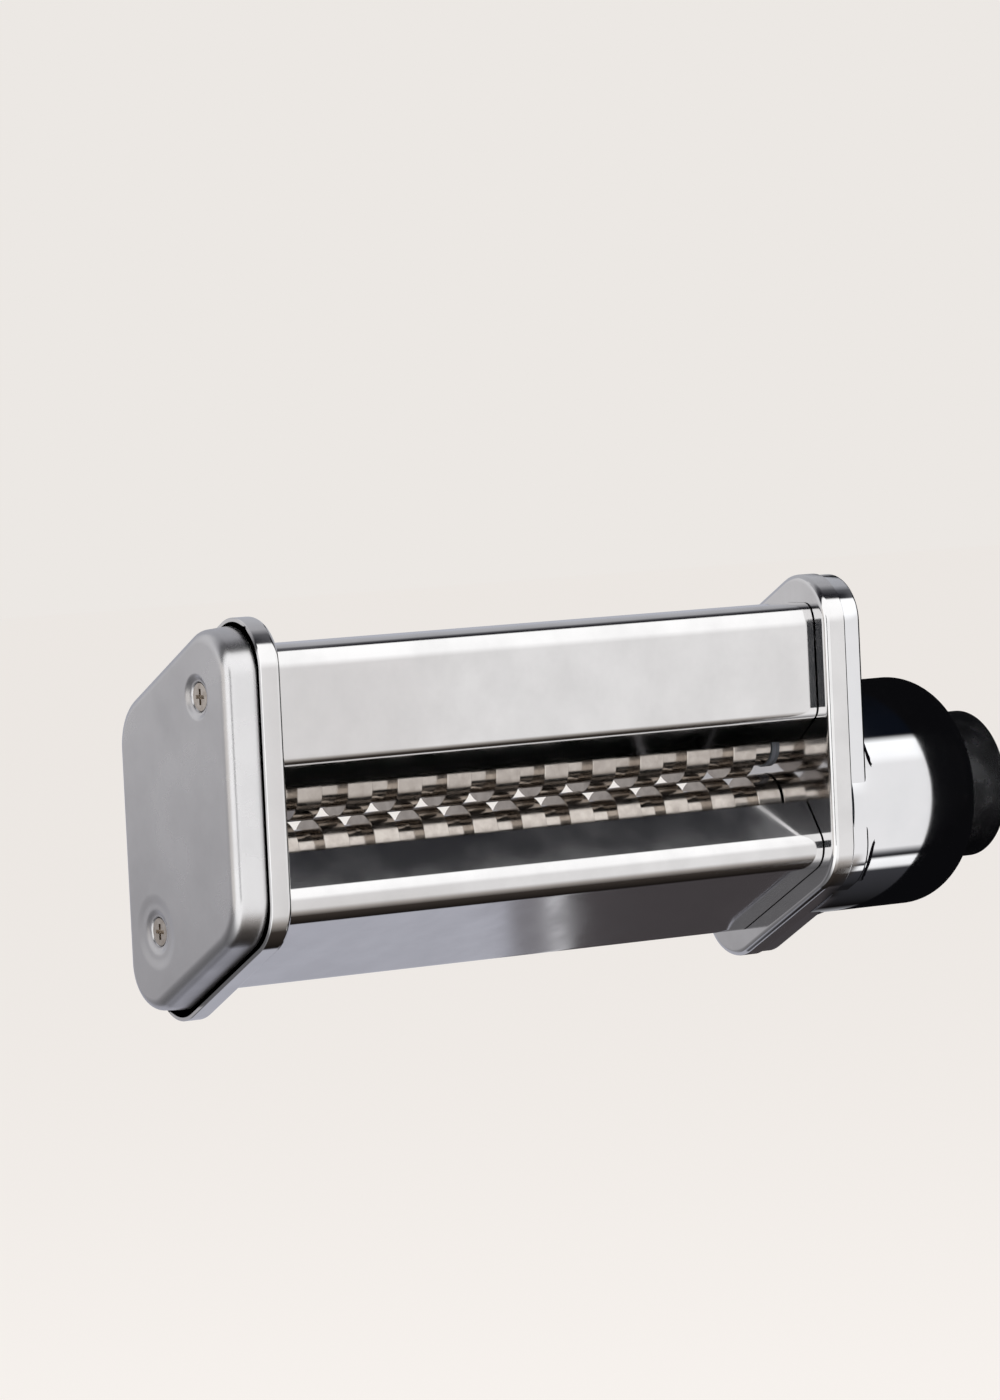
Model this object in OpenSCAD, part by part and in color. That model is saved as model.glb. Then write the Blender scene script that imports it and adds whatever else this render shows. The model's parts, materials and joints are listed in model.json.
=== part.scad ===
// Fettuccine cutter attachment for a stand mixer, driven by the mixer's power hub.
// +X runs along the cutting rollers towards the mixer, +Y to the back, +Z up.
// Origin: on the drive axis, at the shoulder where the hub spigot starts.

/* [Side plates] */
// Clear length between the two side plates
frame_length = 144.1; // [120:0.1:180]
// Distance of a side plate's front face from the middle
plate_front = 28.5; // [20:0.1:40]
// Distance of a side plate's back face from the middle
plate_back = 25.6; // [20:0.1:40]
// Height of the plate's sloping top edge above the middle
plate_top = 37.5; // [30:0.1:50]
// Depth of the plate's sloping bottom edge below the middle
plate_bottom = 39.1; // [30:0.1:50]
// Slope of the plate's top and bottom edges
plate_slope = 27.7; // [10:0.1:45]
// Radius of the two sharp corners
sharp_radius = 11.2; // [5:0.1:20]
// Radius of the two blunt corners
blunt_radius = 12.5; // [5:0.1:20]
// Width of the rim that is folded outwards
rim_width = 5.4; // [3:0.1:12]
// Outer radius of the rim's fold
rim_fold = 1.5; // [1.1:0.1:4]
// Sheet thickness of the plates
plate_sheet = 1.0; // [0.6:0.1:2]

/* [End cap] */
// How far the end cap's face stands out from the left plate
cap_height = 13.1; // [9:0.1:25]
// Distance of the cap's front face from the middle
cap_front = 26.3; // [18:0.1:38]
// Distance of the cap's back face from the middle
cap_back = 23.3; // [18:0.1:38]
// Height of the cap's sloping top edge above the middle
cap_top = 35.8; // [28:0.1:48]
// Depth of the cap's sloping bottom edge below the middle
cap_bottom = 36.6; // [28:0.1:48]
// Radius of the cap's two sharp corners
cap_sharp_radius = 10.2; // [4:0.1:18]
// Radius of the cap's two blunt corners
cap_blunt_radius = 13; // [4:0.1:18]
// Radius of the cap's rounded edge
cap_edge = 2.9; // [1:0.1:6]
// Wall thickness of the cap
cap_wall = 1.2; // [0.8:0.1:2.5]
// Distance of the upper cap screw in front of the middle
upper_screw_y = 13.4; // [5:0.1:18]
// Height of the upper cap screw above the middle
upper_screw_z = 28.3; // [15:0.1:32]
// Distance of the lower cap screw behind the middle
lower_screw_y = 9.8; // [5:0.1:16]
// Depth of the lower cap screw below the middle
lower_screw_z = 24.3; // [15:0.1:32]

/* [Covers] */
// Sheet thickness of the covers
cover_sheet = 0.9; // [0.5:0.1:1.5]
// Distance of the upper cover's front face from the middle
cover_reach = 24.1; // [20:0.1:30]
// Height of a cover's flat top above the middle
cover_height = 38.8; // [30:0.1:50]
// Height of a cover's lips above the middle
lip_height = 7.4; // [6:0.1:10]
// Gap between a cover and a side plate
cover_gap = 0.3; // [0.05:0.05:0.5]

/* [Cutting rollers] */
// Width of one strand of pasta
strand_width = 6.5; // [2:0.5:12]
// Number of strands that each roller's grooves cut
strand_count = 11; // [6:1:24]
// Outside diameter of a cutting ring
ring_diameter = 14; // [10:0.5:24]
// Diameter of a groove's floor
core_diameter = 9.2; // [6:0.1:18]
// Distance between the two roller axes
axis_spacing = 13.5; // [10:0.1:23]
// Side clearance between one ring and the ring beside it
ring_clearance = 0.05; // [0.02:0.01:0.2]
// Roller axes, front to back
axis_y = -1.8; // [-6:0.1:6]
// Height of the nip between the rollers
nip_z = -1.5; // [-5:0.1:5]
// Diameter of the roller journals
journal_diameter = 6; // [4:0.1:9]
// Diameter of a roller's left end, under the gear
gear_seat_diameter = 5; // [3:0.1:8]

/* [Gears] */
// Teeth on each gear
gear_teeth = 12; // [12:4:24]
// Face width of a gear
gear_width = 5.4; // [3:0.1:8]
// Tooth thickness taken off for backlash
gear_backlash = 0.22; // [0.1:0.01:0.4]

/* [Combs] */
// Comb rod's distance behind the middle
comb_y = 11.3; // [9:0.1:16]
// Upper comb rod's height above the middle
comb_z = 11; // [8:0.1:14]
// Diameter of a comb rod
comb_rod_diameter = 4; // [2:0.1:6]
// Width of one comb tooth
tooth_width = 5.5; // [1:0.1:11]

/* [Tie rods] */
// Upper tie rod's distance from the middle, front to back
tie_y = -6; // [-15:0.5:15]
// Upper tie rod's height above the middle
tie_z = 31; // [24:0.5:36]
// Diameter of a tie rod
tie_diameter = 5; // [3:0.5:8]

/* [Hub] */
// Diameter of the round hub boss
boss_diameter = 53.6; // [40:0.1:60]
// Distance from the right plate to the hub shoulder
boss_length = 45; // [30:1:70]
// Radius of the boss's rounded outer edge
boss_edge = 9; // [2:0.5:12]
// Radius of the blend between the boss and its plate
boss_blend = 5; // [3:0.5:12]
// Distance from the right plate to the casting's outer face
casting_height = 10.2; // [8:0.1:16]
// Radius of the casting's rounded edge
casting_edge = 0.8; // [0.5:0.1:4]
// Diameter of the hub spigot
spigot_diameter = 34.6; // [28:0.1:40]
// Length of the hub spigot
spigot_length = 12; // [8:0.5:20]
// Diameter of the drive shaft
shaft_diameter = 12; // [8:0.5:14]
// Width across the flats of the square drive end
square_width = 9.5; // [6:0.1:12]
// Length of the square drive end
square_length = 20; // [10:0.5:30]

/* [Hidden] */
$fn = 96;
e = 0.05;
len_x = frame_length;
middle_y = (plate_back - plate_front) / 2;
hub_x = len_x + boss_length;
upper_z = nip_z + axis_spacing / 2;
lower_z = nip_z - axis_spacing / 2;
ring_r = ring_diameter / 2;
core_r = core_diameter / 2;
journal_r = journal_diameter / 2;
seat_r = gear_seat_diameter / 2;
start_x = len_x - 2 * strand_count * strand_width - 0.35;
pitch_r = axis_spacing / 2;
gear_module = axis_spacing / gear_teeth;
boss_r = boss_diameter / 2;
spigot_r = spigot_diameter / 2;
shaft_r = shaft_diameter / 2;
rod_r = comb_rod_diameter / 2;
tie_r = tie_diameter / 2;
cap_screws = [[-upper_screw_y, upper_screw_z], [lower_screw_y, -lower_screw_z]];
casting_screws = [[-17, 30], [12, 20], [18, -32], [-6, -27.5]];
tie_spots = [[tie_y, tie_z], [2 * middle_y - tie_y, -tie_z]];
comb_spots = [[comb_y, comb_z], [comb_y, 2 * nip_z - comb_z]];
collar_screw_r = 13.2;
sleeve_r = 10.5;
gear_x = -2.4 - gear_width;

// The leaning four-sided outline of the plates and the cap: its corner centres and radii.
// y0, y1: front and back; za, zb: height of the top and bottom edges at y = 0.
function corner(y, z, s, r) = [[y, z - y * tan(plate_slope) - s * r / cos(plate_slope)], r];
function leaning(y0, y1, za, zb, sharp, blunt) = [
    corner(y0 + sharp, za, 1, sharp), corner(y1 - blunt, za, 1, blunt),
    corner(y1 - sharp, zb, -1, sharp), corner(y0 + blunt, zb, -1, blunt)
];
plate = leaning(-plate_front, plate_back, plate_top, -plate_bottom, sharp_radius, blunt_radius);
cap = leaning(-cap_front, cap_back, cap_top, -cap_bottom, cap_sharp_radius, cap_blunt_radius);
slope_n = [sin(plate_slope), cos(plate_slope)];

module outline(inset = 0) {
    c = plate;
    r = [for (k = c) k[1] - inset];
    polygon([
        c[0][0] + [-r[0], 0], c[0][0] + slope_n * r[0],
        c[1][0] + slope_n * r[1], c[1][0] + [r[1], 0],
        c[2][0] + [r[2], 0], c[2][0] - slope_n * r[2],
        c[3][0] - slope_n * r[3], c[3][0] + [-r[3], 0]
    ]);
    for (k = c) translate(k[0]) circle(r = k[1] - inset);
}

// 2D shapes in (y, z), drawn out along +X.
module along_x(x0, x1) {
    translate([x0, 0, 0]) rotate([90, 0, 90]) linear_extrude(x1 - x0) children();
}

module rod_x(p, r, x0, x1) {
    translate([x0, p[0], p[1]]) rotate([0, 90, 0]) cylinder(r = r, h = x1 - x0);
}

module cone_x(p, r0, r1, x0, x1) {
    translate([x0, p[0], p[1]]) rotate([0, 90, 0]) cylinder(r1 = r0, r2 = r1, h = x1 - x0);
}

// A slab with the outline c and one rounded edge, at x1 (s = 1) or x0 (s = -1).
module rounded_slab(c, inset, x0, x1, fillet, s) {
    flat_end = s > 0 ? x0 : x1;
    round_end = s > 0 ? x1 : x0;
    h = abs(x1 - x0);
    hull() for (k = c) {
        r = k[1] - inset;
        translate([flat_end, k[0][0], k[0][1]]) rotate([0, s * 90, 0])
            rotate_extrude($fn = 32) polygon(concat(
                [[0, 0], [r, 0], [r, h - fillet]],
                [for (a = [18:18:72]) [r - fillet + fillet * cos(a), h - fillet + fillet * sin(a)]],
                [[r - fillet, h], [0, h]]
            ));
    }
}

// A strip of sheet bent along the points p with outer radii r, its thickness t to the right.
function unit(v) = v / norm(v);
function right(u) = [u[1], -u[0]];
function way(p, i) = unit(p[i + 1] - p[i]);
function turn(p, i) = acos(way(p, i - 1) * way(p, i));
function cut(p, r, i) = i == 0 || i == len(p) - 1 ? 0 : r[i] * tan(turn(p, i) / 2);

function bend(p, r, i, t) =
    let (u = way(p, i - 1), c = p[i] - u * cut(p, r, i) + right(u) * r[i], step = turn(p, i) / 8)
    [for (k = [0:8]) c + (r[i] - t) * (u * sin(k * step) - right(u) * cos(k * step))];
function skin(p, r, t) = concat(
    [p[0] + right(way(p, 0)) * t],
    [for (i = [1:len(p) - 2], q = bend(p, r, i, t)) q],
    [p[len(p) - 1] + right(way(p, len(p) - 2)) * t]
);

module bent_strip(p, r, t) {
    inner = skin(p, r, t);
    polygon(concat(skin(p, r, 0), [for (i = [len(inner) - 1:-1:0]) inner[i]]));
}

// ---- Frame ----

module side_plate_body(s) {
    difference() {
        if (s < 0) rounded_slab(plate, 0, -rim_width, 0, rim_fold, 1);
        else rounded_slab(plate, 0, len_x, len_x + rim_width, rim_fold, -1);
        inner = rim_fold - plate_sheet;
        if (s < 0) rounded_slab(plate, plate_sheet, -rim_width - 1, -plate_sheet, inner, 1);
        else rounded_slab(plate, plate_sheet, len_x + plate_sheet, len_x + rim_width + 1, inner, -1);
        x0 = s < 0 ? -plate_sheet - 1 : len_x - 1;
        x1 = s < 0 ? 1 : len_x + plate_sheet + 1;
        for (z = [upper_z, lower_z]) rod_x([axis_y, z], journal_r + 1.02, x0, x1);
        for (p = tie_spots) rod_x(p, 1.7, x0, x1);
        for (p = comb_spots) rod_x(p, rod_r + 0.03, x0, x1);
    }
}

module left_side_plate() {
    color("Silver") difference() {
        side_plate_body(-1);
        for (p = cap_screws) rod_x(p, 1.6, -plate_sheet - 1, 1);
    }
}

module right_side_plate() {
    color("Silver") difference() {
        side_plate_body(1);
        for (p = casting_screws) {
            rod_x(p, 1.55, len_x - 1, len_x + 2);
            cone_x(p, 3.15, 1.55, len_x, len_x + 1.6);
        }
    }
}

module end_cap() {
    color("DarkGray") difference() {
        union() {
            difference() {
                rounded_slab(cap, 0, -cap_height, -plate_sheet - 1, cap_edge, -1);
                rounded_slab(cap, cap_wall, -cap_height + cap_wall, 2, cap_edge - cap_wall, -1);
            }
            for (p = cap_screws) rod_x(p, 5.2, -cap_height + cap_wall / 2, -cap_height + 3.2);
        }
        for (p = cap_screws) {
            translate([-cap_height - 23.1, p[0], p[1]]) sphere(r = 24);
            cone_x(p, 3.25, 1.65, -cap_height + 0.85, -cap_height + 2.45);
            rod_x(p, 1.65, -cap_height, 0);
        }
    }
}

// A countersunk cross-head screw whose head faces -X at x0.
module flat_screw(p, x0, head_r, shank_r, length) {
    difference() {
        union() {
            cone_x(p, head_r, shank_r, x0, x0 + head_r - shank_r);
            rod_x(p, shank_r, x0 + head_r - shank_r - e, x0 + length);
        }
        translate([x0 - e, p[0], p[1]]) {
            translate([0, -head_r * 0.58, -0.42]) cube([1.1, head_r * 1.16, 0.84]);
            translate([0, -0.42, -head_r * 0.58]) cube([1.1, 0.84, head_r * 1.16]);
        }
    }
}

module end_cap_screws() {
    color("LightGray") for (p = cap_screws)
        flat_screw(p, -cap_height + 0.95, 3.05, 1.5, 8);
}

module cap_standoffs() {
    color("Gainsboro") for (p = cap_screws) difference() {
        union() {
            translate([-cap_height + 3.3, p[0], p[1]]) rotate([0, 90, 0])
                cylinder(r = 3.1, h = cap_height - 3.3 - plate_sheet, $fn = 6);
            rod_x(p, 1.55, -plate_sheet - e, 0);
        }
        rod_x(p, 1.55, -cap_height, -3.4);
    }
}

// ---- Covers ----

bend_y = -12.6;
cover_path = [
    [-16.4, lip_height], [-cover_reach, 13.6], [-cover_reach, cover_height - 3.5],
    [-cover_reach + 1.63, cover_height], [bend_y, cover_height],
    [23.8, 19.6], [2 * middle_y + 18.2, lip_height]
];
cover_bends = [0, 3.5, 9, 2.9, 6, 5.8, 0];

module cover() {
    x0 = cover_gap;
    x1 = len_x - cover_gap;
    along_x(x0, x1) bent_strip(cover_path, cover_bends, cover_sheet);
    for (x = [x0, x1 - 1]) along_x(x, x + 1) difference() {
        translate([tie_y - 7, tie_z - 5])
            square([14, cover_height - cover_sheet / 2 - tie_z + 5]);
        translate([tie_y, tie_z]) circle(r = tie_r + 0.05);
        polygon([[bend_y, cover_height - 0.4], [10, cover_height - 12.3],
                 [10, cover_height + 5], [bend_y, cover_height + 5]]);
    }
}

module upper_cover() {
    color("WhiteSmoke") cover();
}

module lower_cover() {
    color("WhiteSmoke") translate([0, 2 * middle_y, 0]) rotate([180, 0, 0]) cover();
}

// ---- Combs, rods and their fasteners ----

// One comb; upper = true fits the grooves of the upper roller.
module comb(upper) {
    spots = comb_spots[0];
    first = start_x + (upper ? 1.5 : 0.5) * strand_width;
    module place() {
        if (upper) children();
        else translate([0, 0, 2 * nip_z]) mirror([0, 0, 1]) children();
    }
    place() {
        along_x(1.2, len_x - 1.2) difference() {
            translate(spots) circle(r = rod_r + 1.2);
            translate(spots) circle(r = rod_r + 0.02);
        }
        for (k = [0:strand_count - 1]) {
            xm = first + 2 * k * strand_width;
            x0 = max(xm - tooth_width / 2, 1.4);
            x1 = min(xm + tooth_width / 2, len_x - 1.4);
            along_x(x0, x1) difference() {
                polygon([
                    [axis_y + core_r + 0.35, upper_z - 0.65], [axis_y + core_r + 0.35, upper_z + 0.35],
                    [comb_y - 1.4, comb_z + 2.6], [comb_y + 1.2, comb_z - 2.4]
                ]);
                translate(spots) circle(r = rod_r + 0.4);
            }
        }
    }
}

module upper_comb() {
    color("LightSteelBlue") comb(true);
}

module lower_comb() {
    color("LightSteelBlue") comb(false);
}

module comb_rods() {
    color("Silver") for (p = comb_spots) difference() {
        rod_x(p, rod_r, -3.2, len_x + 3.2);
        for (x = [-2.6, len_x + 1.9]) along_x(x, x + 0.7) difference() {
            translate(p) circle(r = rod_r + 1);
            translate(p) circle(r = rod_r - 0.45);
        }
    }
}

// An open spring clip round a groove, its gap facing +Y.
module spring_clip(p, inner, outer, x0, x1) {
    along_x(x0, x1) difference() {
        translate(p) circle(r = outer);
        translate(p) circle(r = inner);
        translate(p + [0, -inner * 0.8]) square([outer + 1, inner * 1.6]);
    }
}

module comb_rod_clips() {
    color("DimGray") for (p = comb_spots, x = [-2.55, len_x + 1.95])
        spring_clip(p, rod_r - 0.4, rod_r + 1.4, x, x + 0.6);
}

module tie_rods() {
    color("Silver") for (p = tie_spots) difference() {
        rod_x(p, tie_r, 0, len_x);
        rod_x(p, 1.55, -1, 12);
        rod_x(p, 1.55, len_x - 12, len_x + 1);
    }
}

module cheese_screw(p, x0, s) {
    xa = min(x0, x0 - s * 2);
    xb = min(x0 - s * e, x0 + s * 9);
    difference() {
        union() {
            rod_x(p, 3, xa, xa + 2);
            rod_x(p, 1.5, xb, xb + 9);
        }
        translate([x0 - s * 2.5 + (s < 0 ? -0.5 : -0.5), p[0], p[1]])
            cube([2.4, 0.8, 7], center = true);
    }
}

module tie_rod_screws() {
    color("LightGray") for (p = tie_spots) {
        cheese_screw(p, -plate_sheet, 1);
        cheese_screw(p, len_x + plate_sheet, -1);
    }
}

// ---- Bearings, rollers and gears ----

module roller_bushings() {
    color("DarkSlateGray") for (z = [upper_z, lower_z], s = [-1, 1]) difference() {
        union() {
            rod_x([axis_y, z], journal_r + 2, s < 0 ? 0 : len_x - 1, s < 0 ? 1 : len_x);
            rod_x([axis_y, z], journal_r + 1, s < 0 ? -1.8 : len_x - 0.5, s < 0 ? 0.5 : len_x + 1.8);
        }
        rod_x([axis_y, z], journal_r + 0.04, s < 0 ? -3 : len_x - 2, s < 0 ? 2 : len_x + 3);
    }
}

module roller(z, first, right_end) {
    p = [axis_y, z];
    difference() {
        union() {
            rod_x(p, core_r, 1.2, len_x - 1.2);
            for (k = [0:strand_count - 1]) {
                x0 = start_x + first * strand_width + 2 * k * strand_width;
                rod_x(p, ring_r, x0 + ring_clearance, x0 + strand_width - ring_clearance);
            }
            rod_x(p, journal_r, -2.2, right_end);
            rod_x(p, seat_r, gear_x - 2.2, 0);
        }
        for (x = [-1, len_x - 1.2]) along_x(x, x + 2.2) difference() {
            translate(p) circle(r = journal_r + 2.4);
            translate(p) circle(r = journal_r);
        }
        along_x(gear_x - 3, -2.2) translate(p + [-4, seat_r - 0.6]) square([8, 3]);
        along_x(gear_x - 0.85, gear_x - 0.1) difference() {
            translate(p) circle(r = seat_r + 1);
            translate(p) circle(r = seat_r - 0.55);
        }
    }
}

module lower_cutting_roller() {
    color("Tan") difference() {
        roller(lower_z, 1, len_x + 14);
        translate([len_x + 9, axis_y, lower_z]) cylinder(r = 1.02, h = 20, center = true);
    }
}

module upper_cutting_roller() {
    color("Tan") roller(upper_z, 0, len_x + 2.4);
}

module gear(z, phase) {
    p = [axis_y, z];
    tip_r = pitch_r + gear_module * 0.9;
    root_r = pitch_r - gear_module * 1.2;
    half_t = (PI * gear_module / 2 - gear_backlash) / 2;
    along_x(gear_x, gear_x + gear_width) translate(p) difference() {
        union() {
            circle(r = root_r);
            for (i = [0:gear_teeth - 1]) rotate(phase + i * 360 / gear_teeth) polygon([
                [root_r - 0.5, -half_t - 0.5], [pitch_r, -half_t], [tip_r, -half_t + 0.42],
                [tip_r, half_t - 0.42], [pitch_r, half_t], [root_r - 0.5, half_t + 0.5]
            ]);
        }
        difference() {
            circle(r = seat_r + 0.03);
            translate([-4, seat_r - 0.57]) square([8, 3]);
        }
    }
}

module lower_gear() {
    color("Goldenrod") gear(lower_z, 90 + 180 / gear_teeth);
}

module upper_gear() {
    color("Goldenrod") gear(upper_z, 90);
}

module lower_gear_clip() {
    color("DimGray") spring_clip([axis_y, lower_z], seat_r - 0.5, seat_r + 1.6,
        gear_x - 0.8, gear_x - 0.15);
}

module upper_gear_clip() {
    color("DimGray") spring_clip([axis_y, upper_z], seat_r - 0.5, seat_r + 1.6,
        gear_x - 0.8, gear_x - 0.15);
}

// ---- Hub ----

// Turned about the drive axis; the profile's x is the radius and its y runs along +X from x0.
module turned(x0) {
    translate([x0, axis_y, lower_z]) rotate([0, 90, 0]) rotate_extrude() children();
}

module boss_body() {
    turned(len_x) intersection() {
        union() {
            translate([0, 6]) square([boss_r, boss_length - 6 - boss_edge]);
            translate([0, 6]) square([boss_r - boss_edge, boss_length - 6]);
            translate([boss_r - boss_edge, boss_length - boss_edge]) circle(r = boss_edge);
        }
        square([boss_r + 1, boss_length]);
    }
    intersection() {
        along_x(len_x + casting_height - 1, len_x + casting_height + boss_blend + 2)
            outline(0.4 + casting_edge);
        turned(len_x + casting_height - 0.5) difference() {
            square([boss_r + boss_blend, boss_blend + 0.5]);
            translate([boss_r + boss_blend - 0.3, boss_blend + 0.2]) circle(r = boss_blend);
        }
    }
}

module hub_housing() {
    p = [axis_y, lower_z];
    color("Gainsboro") difference() {
        union() {
            difference() {
                union() {
                    along_x(len_x + plate_sheet, len_x + rim_width + 1.2)
                        outline(plate_sheet + 1.9);
                    rounded_slab(plate, 0.4, len_x + rim_width + 0.2, len_x + casting_height,
                        casting_edge, 1);
                    boss_body();
                }
                along_x(len_x, len_x + casting_height - 3) outline(plate_sheet + 3.6);
                rod_x(p, boss_r - 4.5, len_x, hub_x - 8);
            }
            for (q = casting_screws)
                rod_x(q, 3.6, len_x + plate_sheet, len_x + casting_height - 1);
        }
        rod_x(p, sleeve_r + 0.03, len_x, hub_x + 1);
        for (q = casting_screws) {
            rod_x(q, 1.55, len_x, len_x + casting_height - 1.5);
            cone_x(q, 3.15, 1.55, len_x, len_x + 1.6);
        }
        for (a = [30, 150, 270])
            rod_x(p + collar_screw_r * [cos(a), sin(a)], 1.55, hub_x - 8, hub_x + 1);
    }
}

module housing_screws() {
    color("LightGray") for (q = casting_screws) flat_screw(q, len_x + 0.05, 3.0, 1.5, 7.5);
}

module hub_collar() {
    p = [axis_y, lower_z];
    color("Silver") difference() {
        union() {
            rod_x(p, sleeve_r, hub_x - 10, hub_x + e);
            rod_x(p, spigot_r, hub_x, hub_x + spigot_length);
        }
        rod_x(p, 8.02, hub_x - 11, hub_x + spigot_length + 1);
        for (a = [30, 150, 270]) {
            q = p + collar_screw_r * [cos(a), sin(a)];
            rod_x(q, 1.6, hub_x - 1, hub_x + spigot_length + 1);
            rod_x(q, 2.9, hub_x + spigot_length - 3.2, hub_x + spigot_length + 1);
        }
        rod_x(p + [0, collar_screw_r], 1.5, hub_x + 4, hub_x + spigot_length + 1);
    }
}

module collar_screws() {
    p = [axis_y, lower_z];
    x1 = hub_x + spigot_length;
    color("DimGray") for (a = [30, 150, 270]) {
        q = p + collar_screw_r * [cos(a), sin(a)];
        difference() {
            union() {
                rod_x(q, 2.75, x1 - 3.2, x1 - 0.2);
                rod_x(q, 1.5, hub_x - 6, x1 - 3);
            }
            translate([x1 - 1.8, q[0], q[1]]) rotate([0, 90, 0]) cylinder(r = 1.45, h = 3, $fn = 6);
        }
    }
}

module hub_bushing() {
    color("Peru") difference() {
        rod_x([axis_y, lower_z], 8, hub_x - 10, hub_x + spigot_length - 3.2);
        rod_x([axis_y, lower_z], shaft_r + 0.05, hub_x - 12, hub_x + spigot_length);
    }
}

module shaft_seal() {
    color("Black") difference() {
        rod_x([axis_y, lower_z], 8, hub_x + spigot_length - 3.1, hub_x + spigot_length - 0.2);
        rod_x([axis_y, lower_z], shaft_r + 0.03, hub_x, hub_x + spigot_length + 1);
    }
}

module locating_pin() {
    q = [axis_y, lower_z + collar_screw_r];
    color("Silver") {
        rod_x(q, 1.48, hub_x + 4, hub_x + spigot_length + 3.4);
        cone_x(q, 1.48, 0.9, hub_x + spigot_length + 3.4, hub_x + spigot_length + 4);
    }
}

module drive_shaft() {
    p = [axis_y, lower_z];
    x1 = hub_x + spigot_length + 2;
    w = square_width;
    color("Silver") difference() {
        union() {
            rod_x(p, shaft_r, len_x + 4, x1);
            rod_x(p, shaft_r + 1.5, len_x + 18, hub_x - 10.5);
            intersection() {
                translate([x1 - e, p[0] - w / 2, p[1] - w / 2]) cube([square_length + e, w, w]);
                union() {
                    rod_x(p, w * 0.66, x1 - 1, x1 + square_length - 2);
                    cone_x(p, w * 0.66, w * 0.46, x1 + square_length - 2, x1 + square_length);
                }
            }
        }
        rod_x(p, journal_r + 0.02, len_x + 3, len_x + 14.5);
        translate([len_x + 9, p[0], p[1]]) cylinder(r = 1.02, h = 20, center = true);
    }
}

module drive_pin() {
    color("DimGray") translate([len_x + 9, axis_y, lower_z])
        cylinder(r = 1, h = 2 * shaft_r - 0.2, center = true);
}

translate([-hub_x, -axis_y, -lower_z]) {
    left_side_plate();
    right_side_plate();
    end_cap();
    end_cap_screws();
    cap_standoffs();
    upper_cover();
    lower_cover();
    upper_comb();
    lower_comb();
    comb_rods();
    comb_rod_clips();
    tie_rods();
    tie_rod_screws();
    roller_bushings();
    hub_housing();
    housing_screws();
    hub_collar();
    collar_screws();
    hub_bushing();
    shaft_seal();
    locating_pin();
    lower_cutting_roller();
    lower_gear();
    lower_gear_clip();
    drive_shaft();
    drive_pin();
    upper_cutting_roller();
    upper_gear();
    upper_gear_clip();
}
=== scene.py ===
"""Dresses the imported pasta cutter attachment.

The side plates, end cap, covers, cutting rollers and hub casting are modelled again with fine bends and
edge breaks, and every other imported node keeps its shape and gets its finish. Lengths named *_mm are in
millimetres and everything handed to Blender is in metres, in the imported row's own frame: +X towards the
mixer, +Y to the back, +Z up.
"""

import json
import logging
import math
from dataclasses import dataclass
from enum import Enum
from typing import Any

import bmesh
import bpy
from mathutils import Matrix, Vector


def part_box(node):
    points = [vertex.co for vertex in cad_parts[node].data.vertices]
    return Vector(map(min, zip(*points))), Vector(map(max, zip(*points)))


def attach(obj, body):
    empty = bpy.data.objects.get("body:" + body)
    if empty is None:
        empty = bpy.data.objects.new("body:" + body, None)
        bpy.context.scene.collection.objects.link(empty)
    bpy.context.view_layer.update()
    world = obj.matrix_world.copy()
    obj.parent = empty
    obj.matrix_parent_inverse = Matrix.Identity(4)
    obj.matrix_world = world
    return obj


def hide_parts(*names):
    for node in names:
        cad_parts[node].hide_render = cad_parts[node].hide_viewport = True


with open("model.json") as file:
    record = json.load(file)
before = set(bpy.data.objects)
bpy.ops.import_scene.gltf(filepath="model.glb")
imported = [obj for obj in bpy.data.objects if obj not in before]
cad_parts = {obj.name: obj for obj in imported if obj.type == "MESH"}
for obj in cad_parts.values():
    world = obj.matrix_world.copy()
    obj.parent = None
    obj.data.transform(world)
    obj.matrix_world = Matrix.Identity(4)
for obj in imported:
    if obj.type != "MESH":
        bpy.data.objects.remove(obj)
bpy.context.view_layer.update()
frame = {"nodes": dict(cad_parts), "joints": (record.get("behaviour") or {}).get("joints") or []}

MM = 0.001
# The middle line that outlines are drawn from lies this far behind and above the driven roller's axis.
MIDDLE_BEHIND_MM = 1.8
MIDDLE_ABOVE_MM = 8.25
# Steps of an outline's corner, a full turn, a small hole, a fold, a sheet's bend and a dish.
CORNER_STEPS, TURN_STEPS, HOLE_STEPS, FOLD_STEPS, BEND_STEPS, DISH_STEPS = 20, 128, 64, 8, 12, 14
# Edges that turn more than this stay sharp.
SHARP_ANGLE = math.radians(32.0)
# Points closer than this are one, in metres: first between the parts of a mesh, then on an axis.
WELD, HAIR = 1e-6, 1e-7
# How near to parallel a ray and an edge may be, and how far past its end the ray may still meet it.
NEAR_PARALLEL, OVERSHOOT = 1e-12, 1e-6
# The share of a cloud pattern over which a metal goes from its first hue to its second.
CLOUD_LOW, CLOUD_HIGH = 0.35, 0.68
# A moulding's mottling is this many grains across, and its roughness varies by this much either way.
MOTTLE_GRAINS, MOULD_SPREAD = 8, 0.06

Mesh, Edge, Vert = bmesh.types.BMesh, bmesh.types.BMEdge, bmesh.types.BMVert
Edges = list[Edge]
Spot = tuple[float, float]
Point = tuple[float, float, float]

logging.basicConfig(level=logging.INFO, format="%(message)s")
log = logging.getLogger("pasta_cutter")


# --- Colours and shader nodes ---


def linear(hex_colour: str) -> tuple[float, float, float, float]:
    """Turns an sRGB hex colour into linear RGBA.

    Args:
        hex_colour: A colour such as "#d9d8d6".

    Returns:
        Linear red, green, blue and an alpha of 1.
    """
    parts = [int(hex_colour[i:i + 2], 16) / 255.0 for i in (1, 3, 5)]
    values = [c / 12.92 if c <= 0.04045 else ((c + 0.055) / 1.055) ** 2.4 for c in parts]
    return (values[0], values[1], values[2], 1.0)


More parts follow.
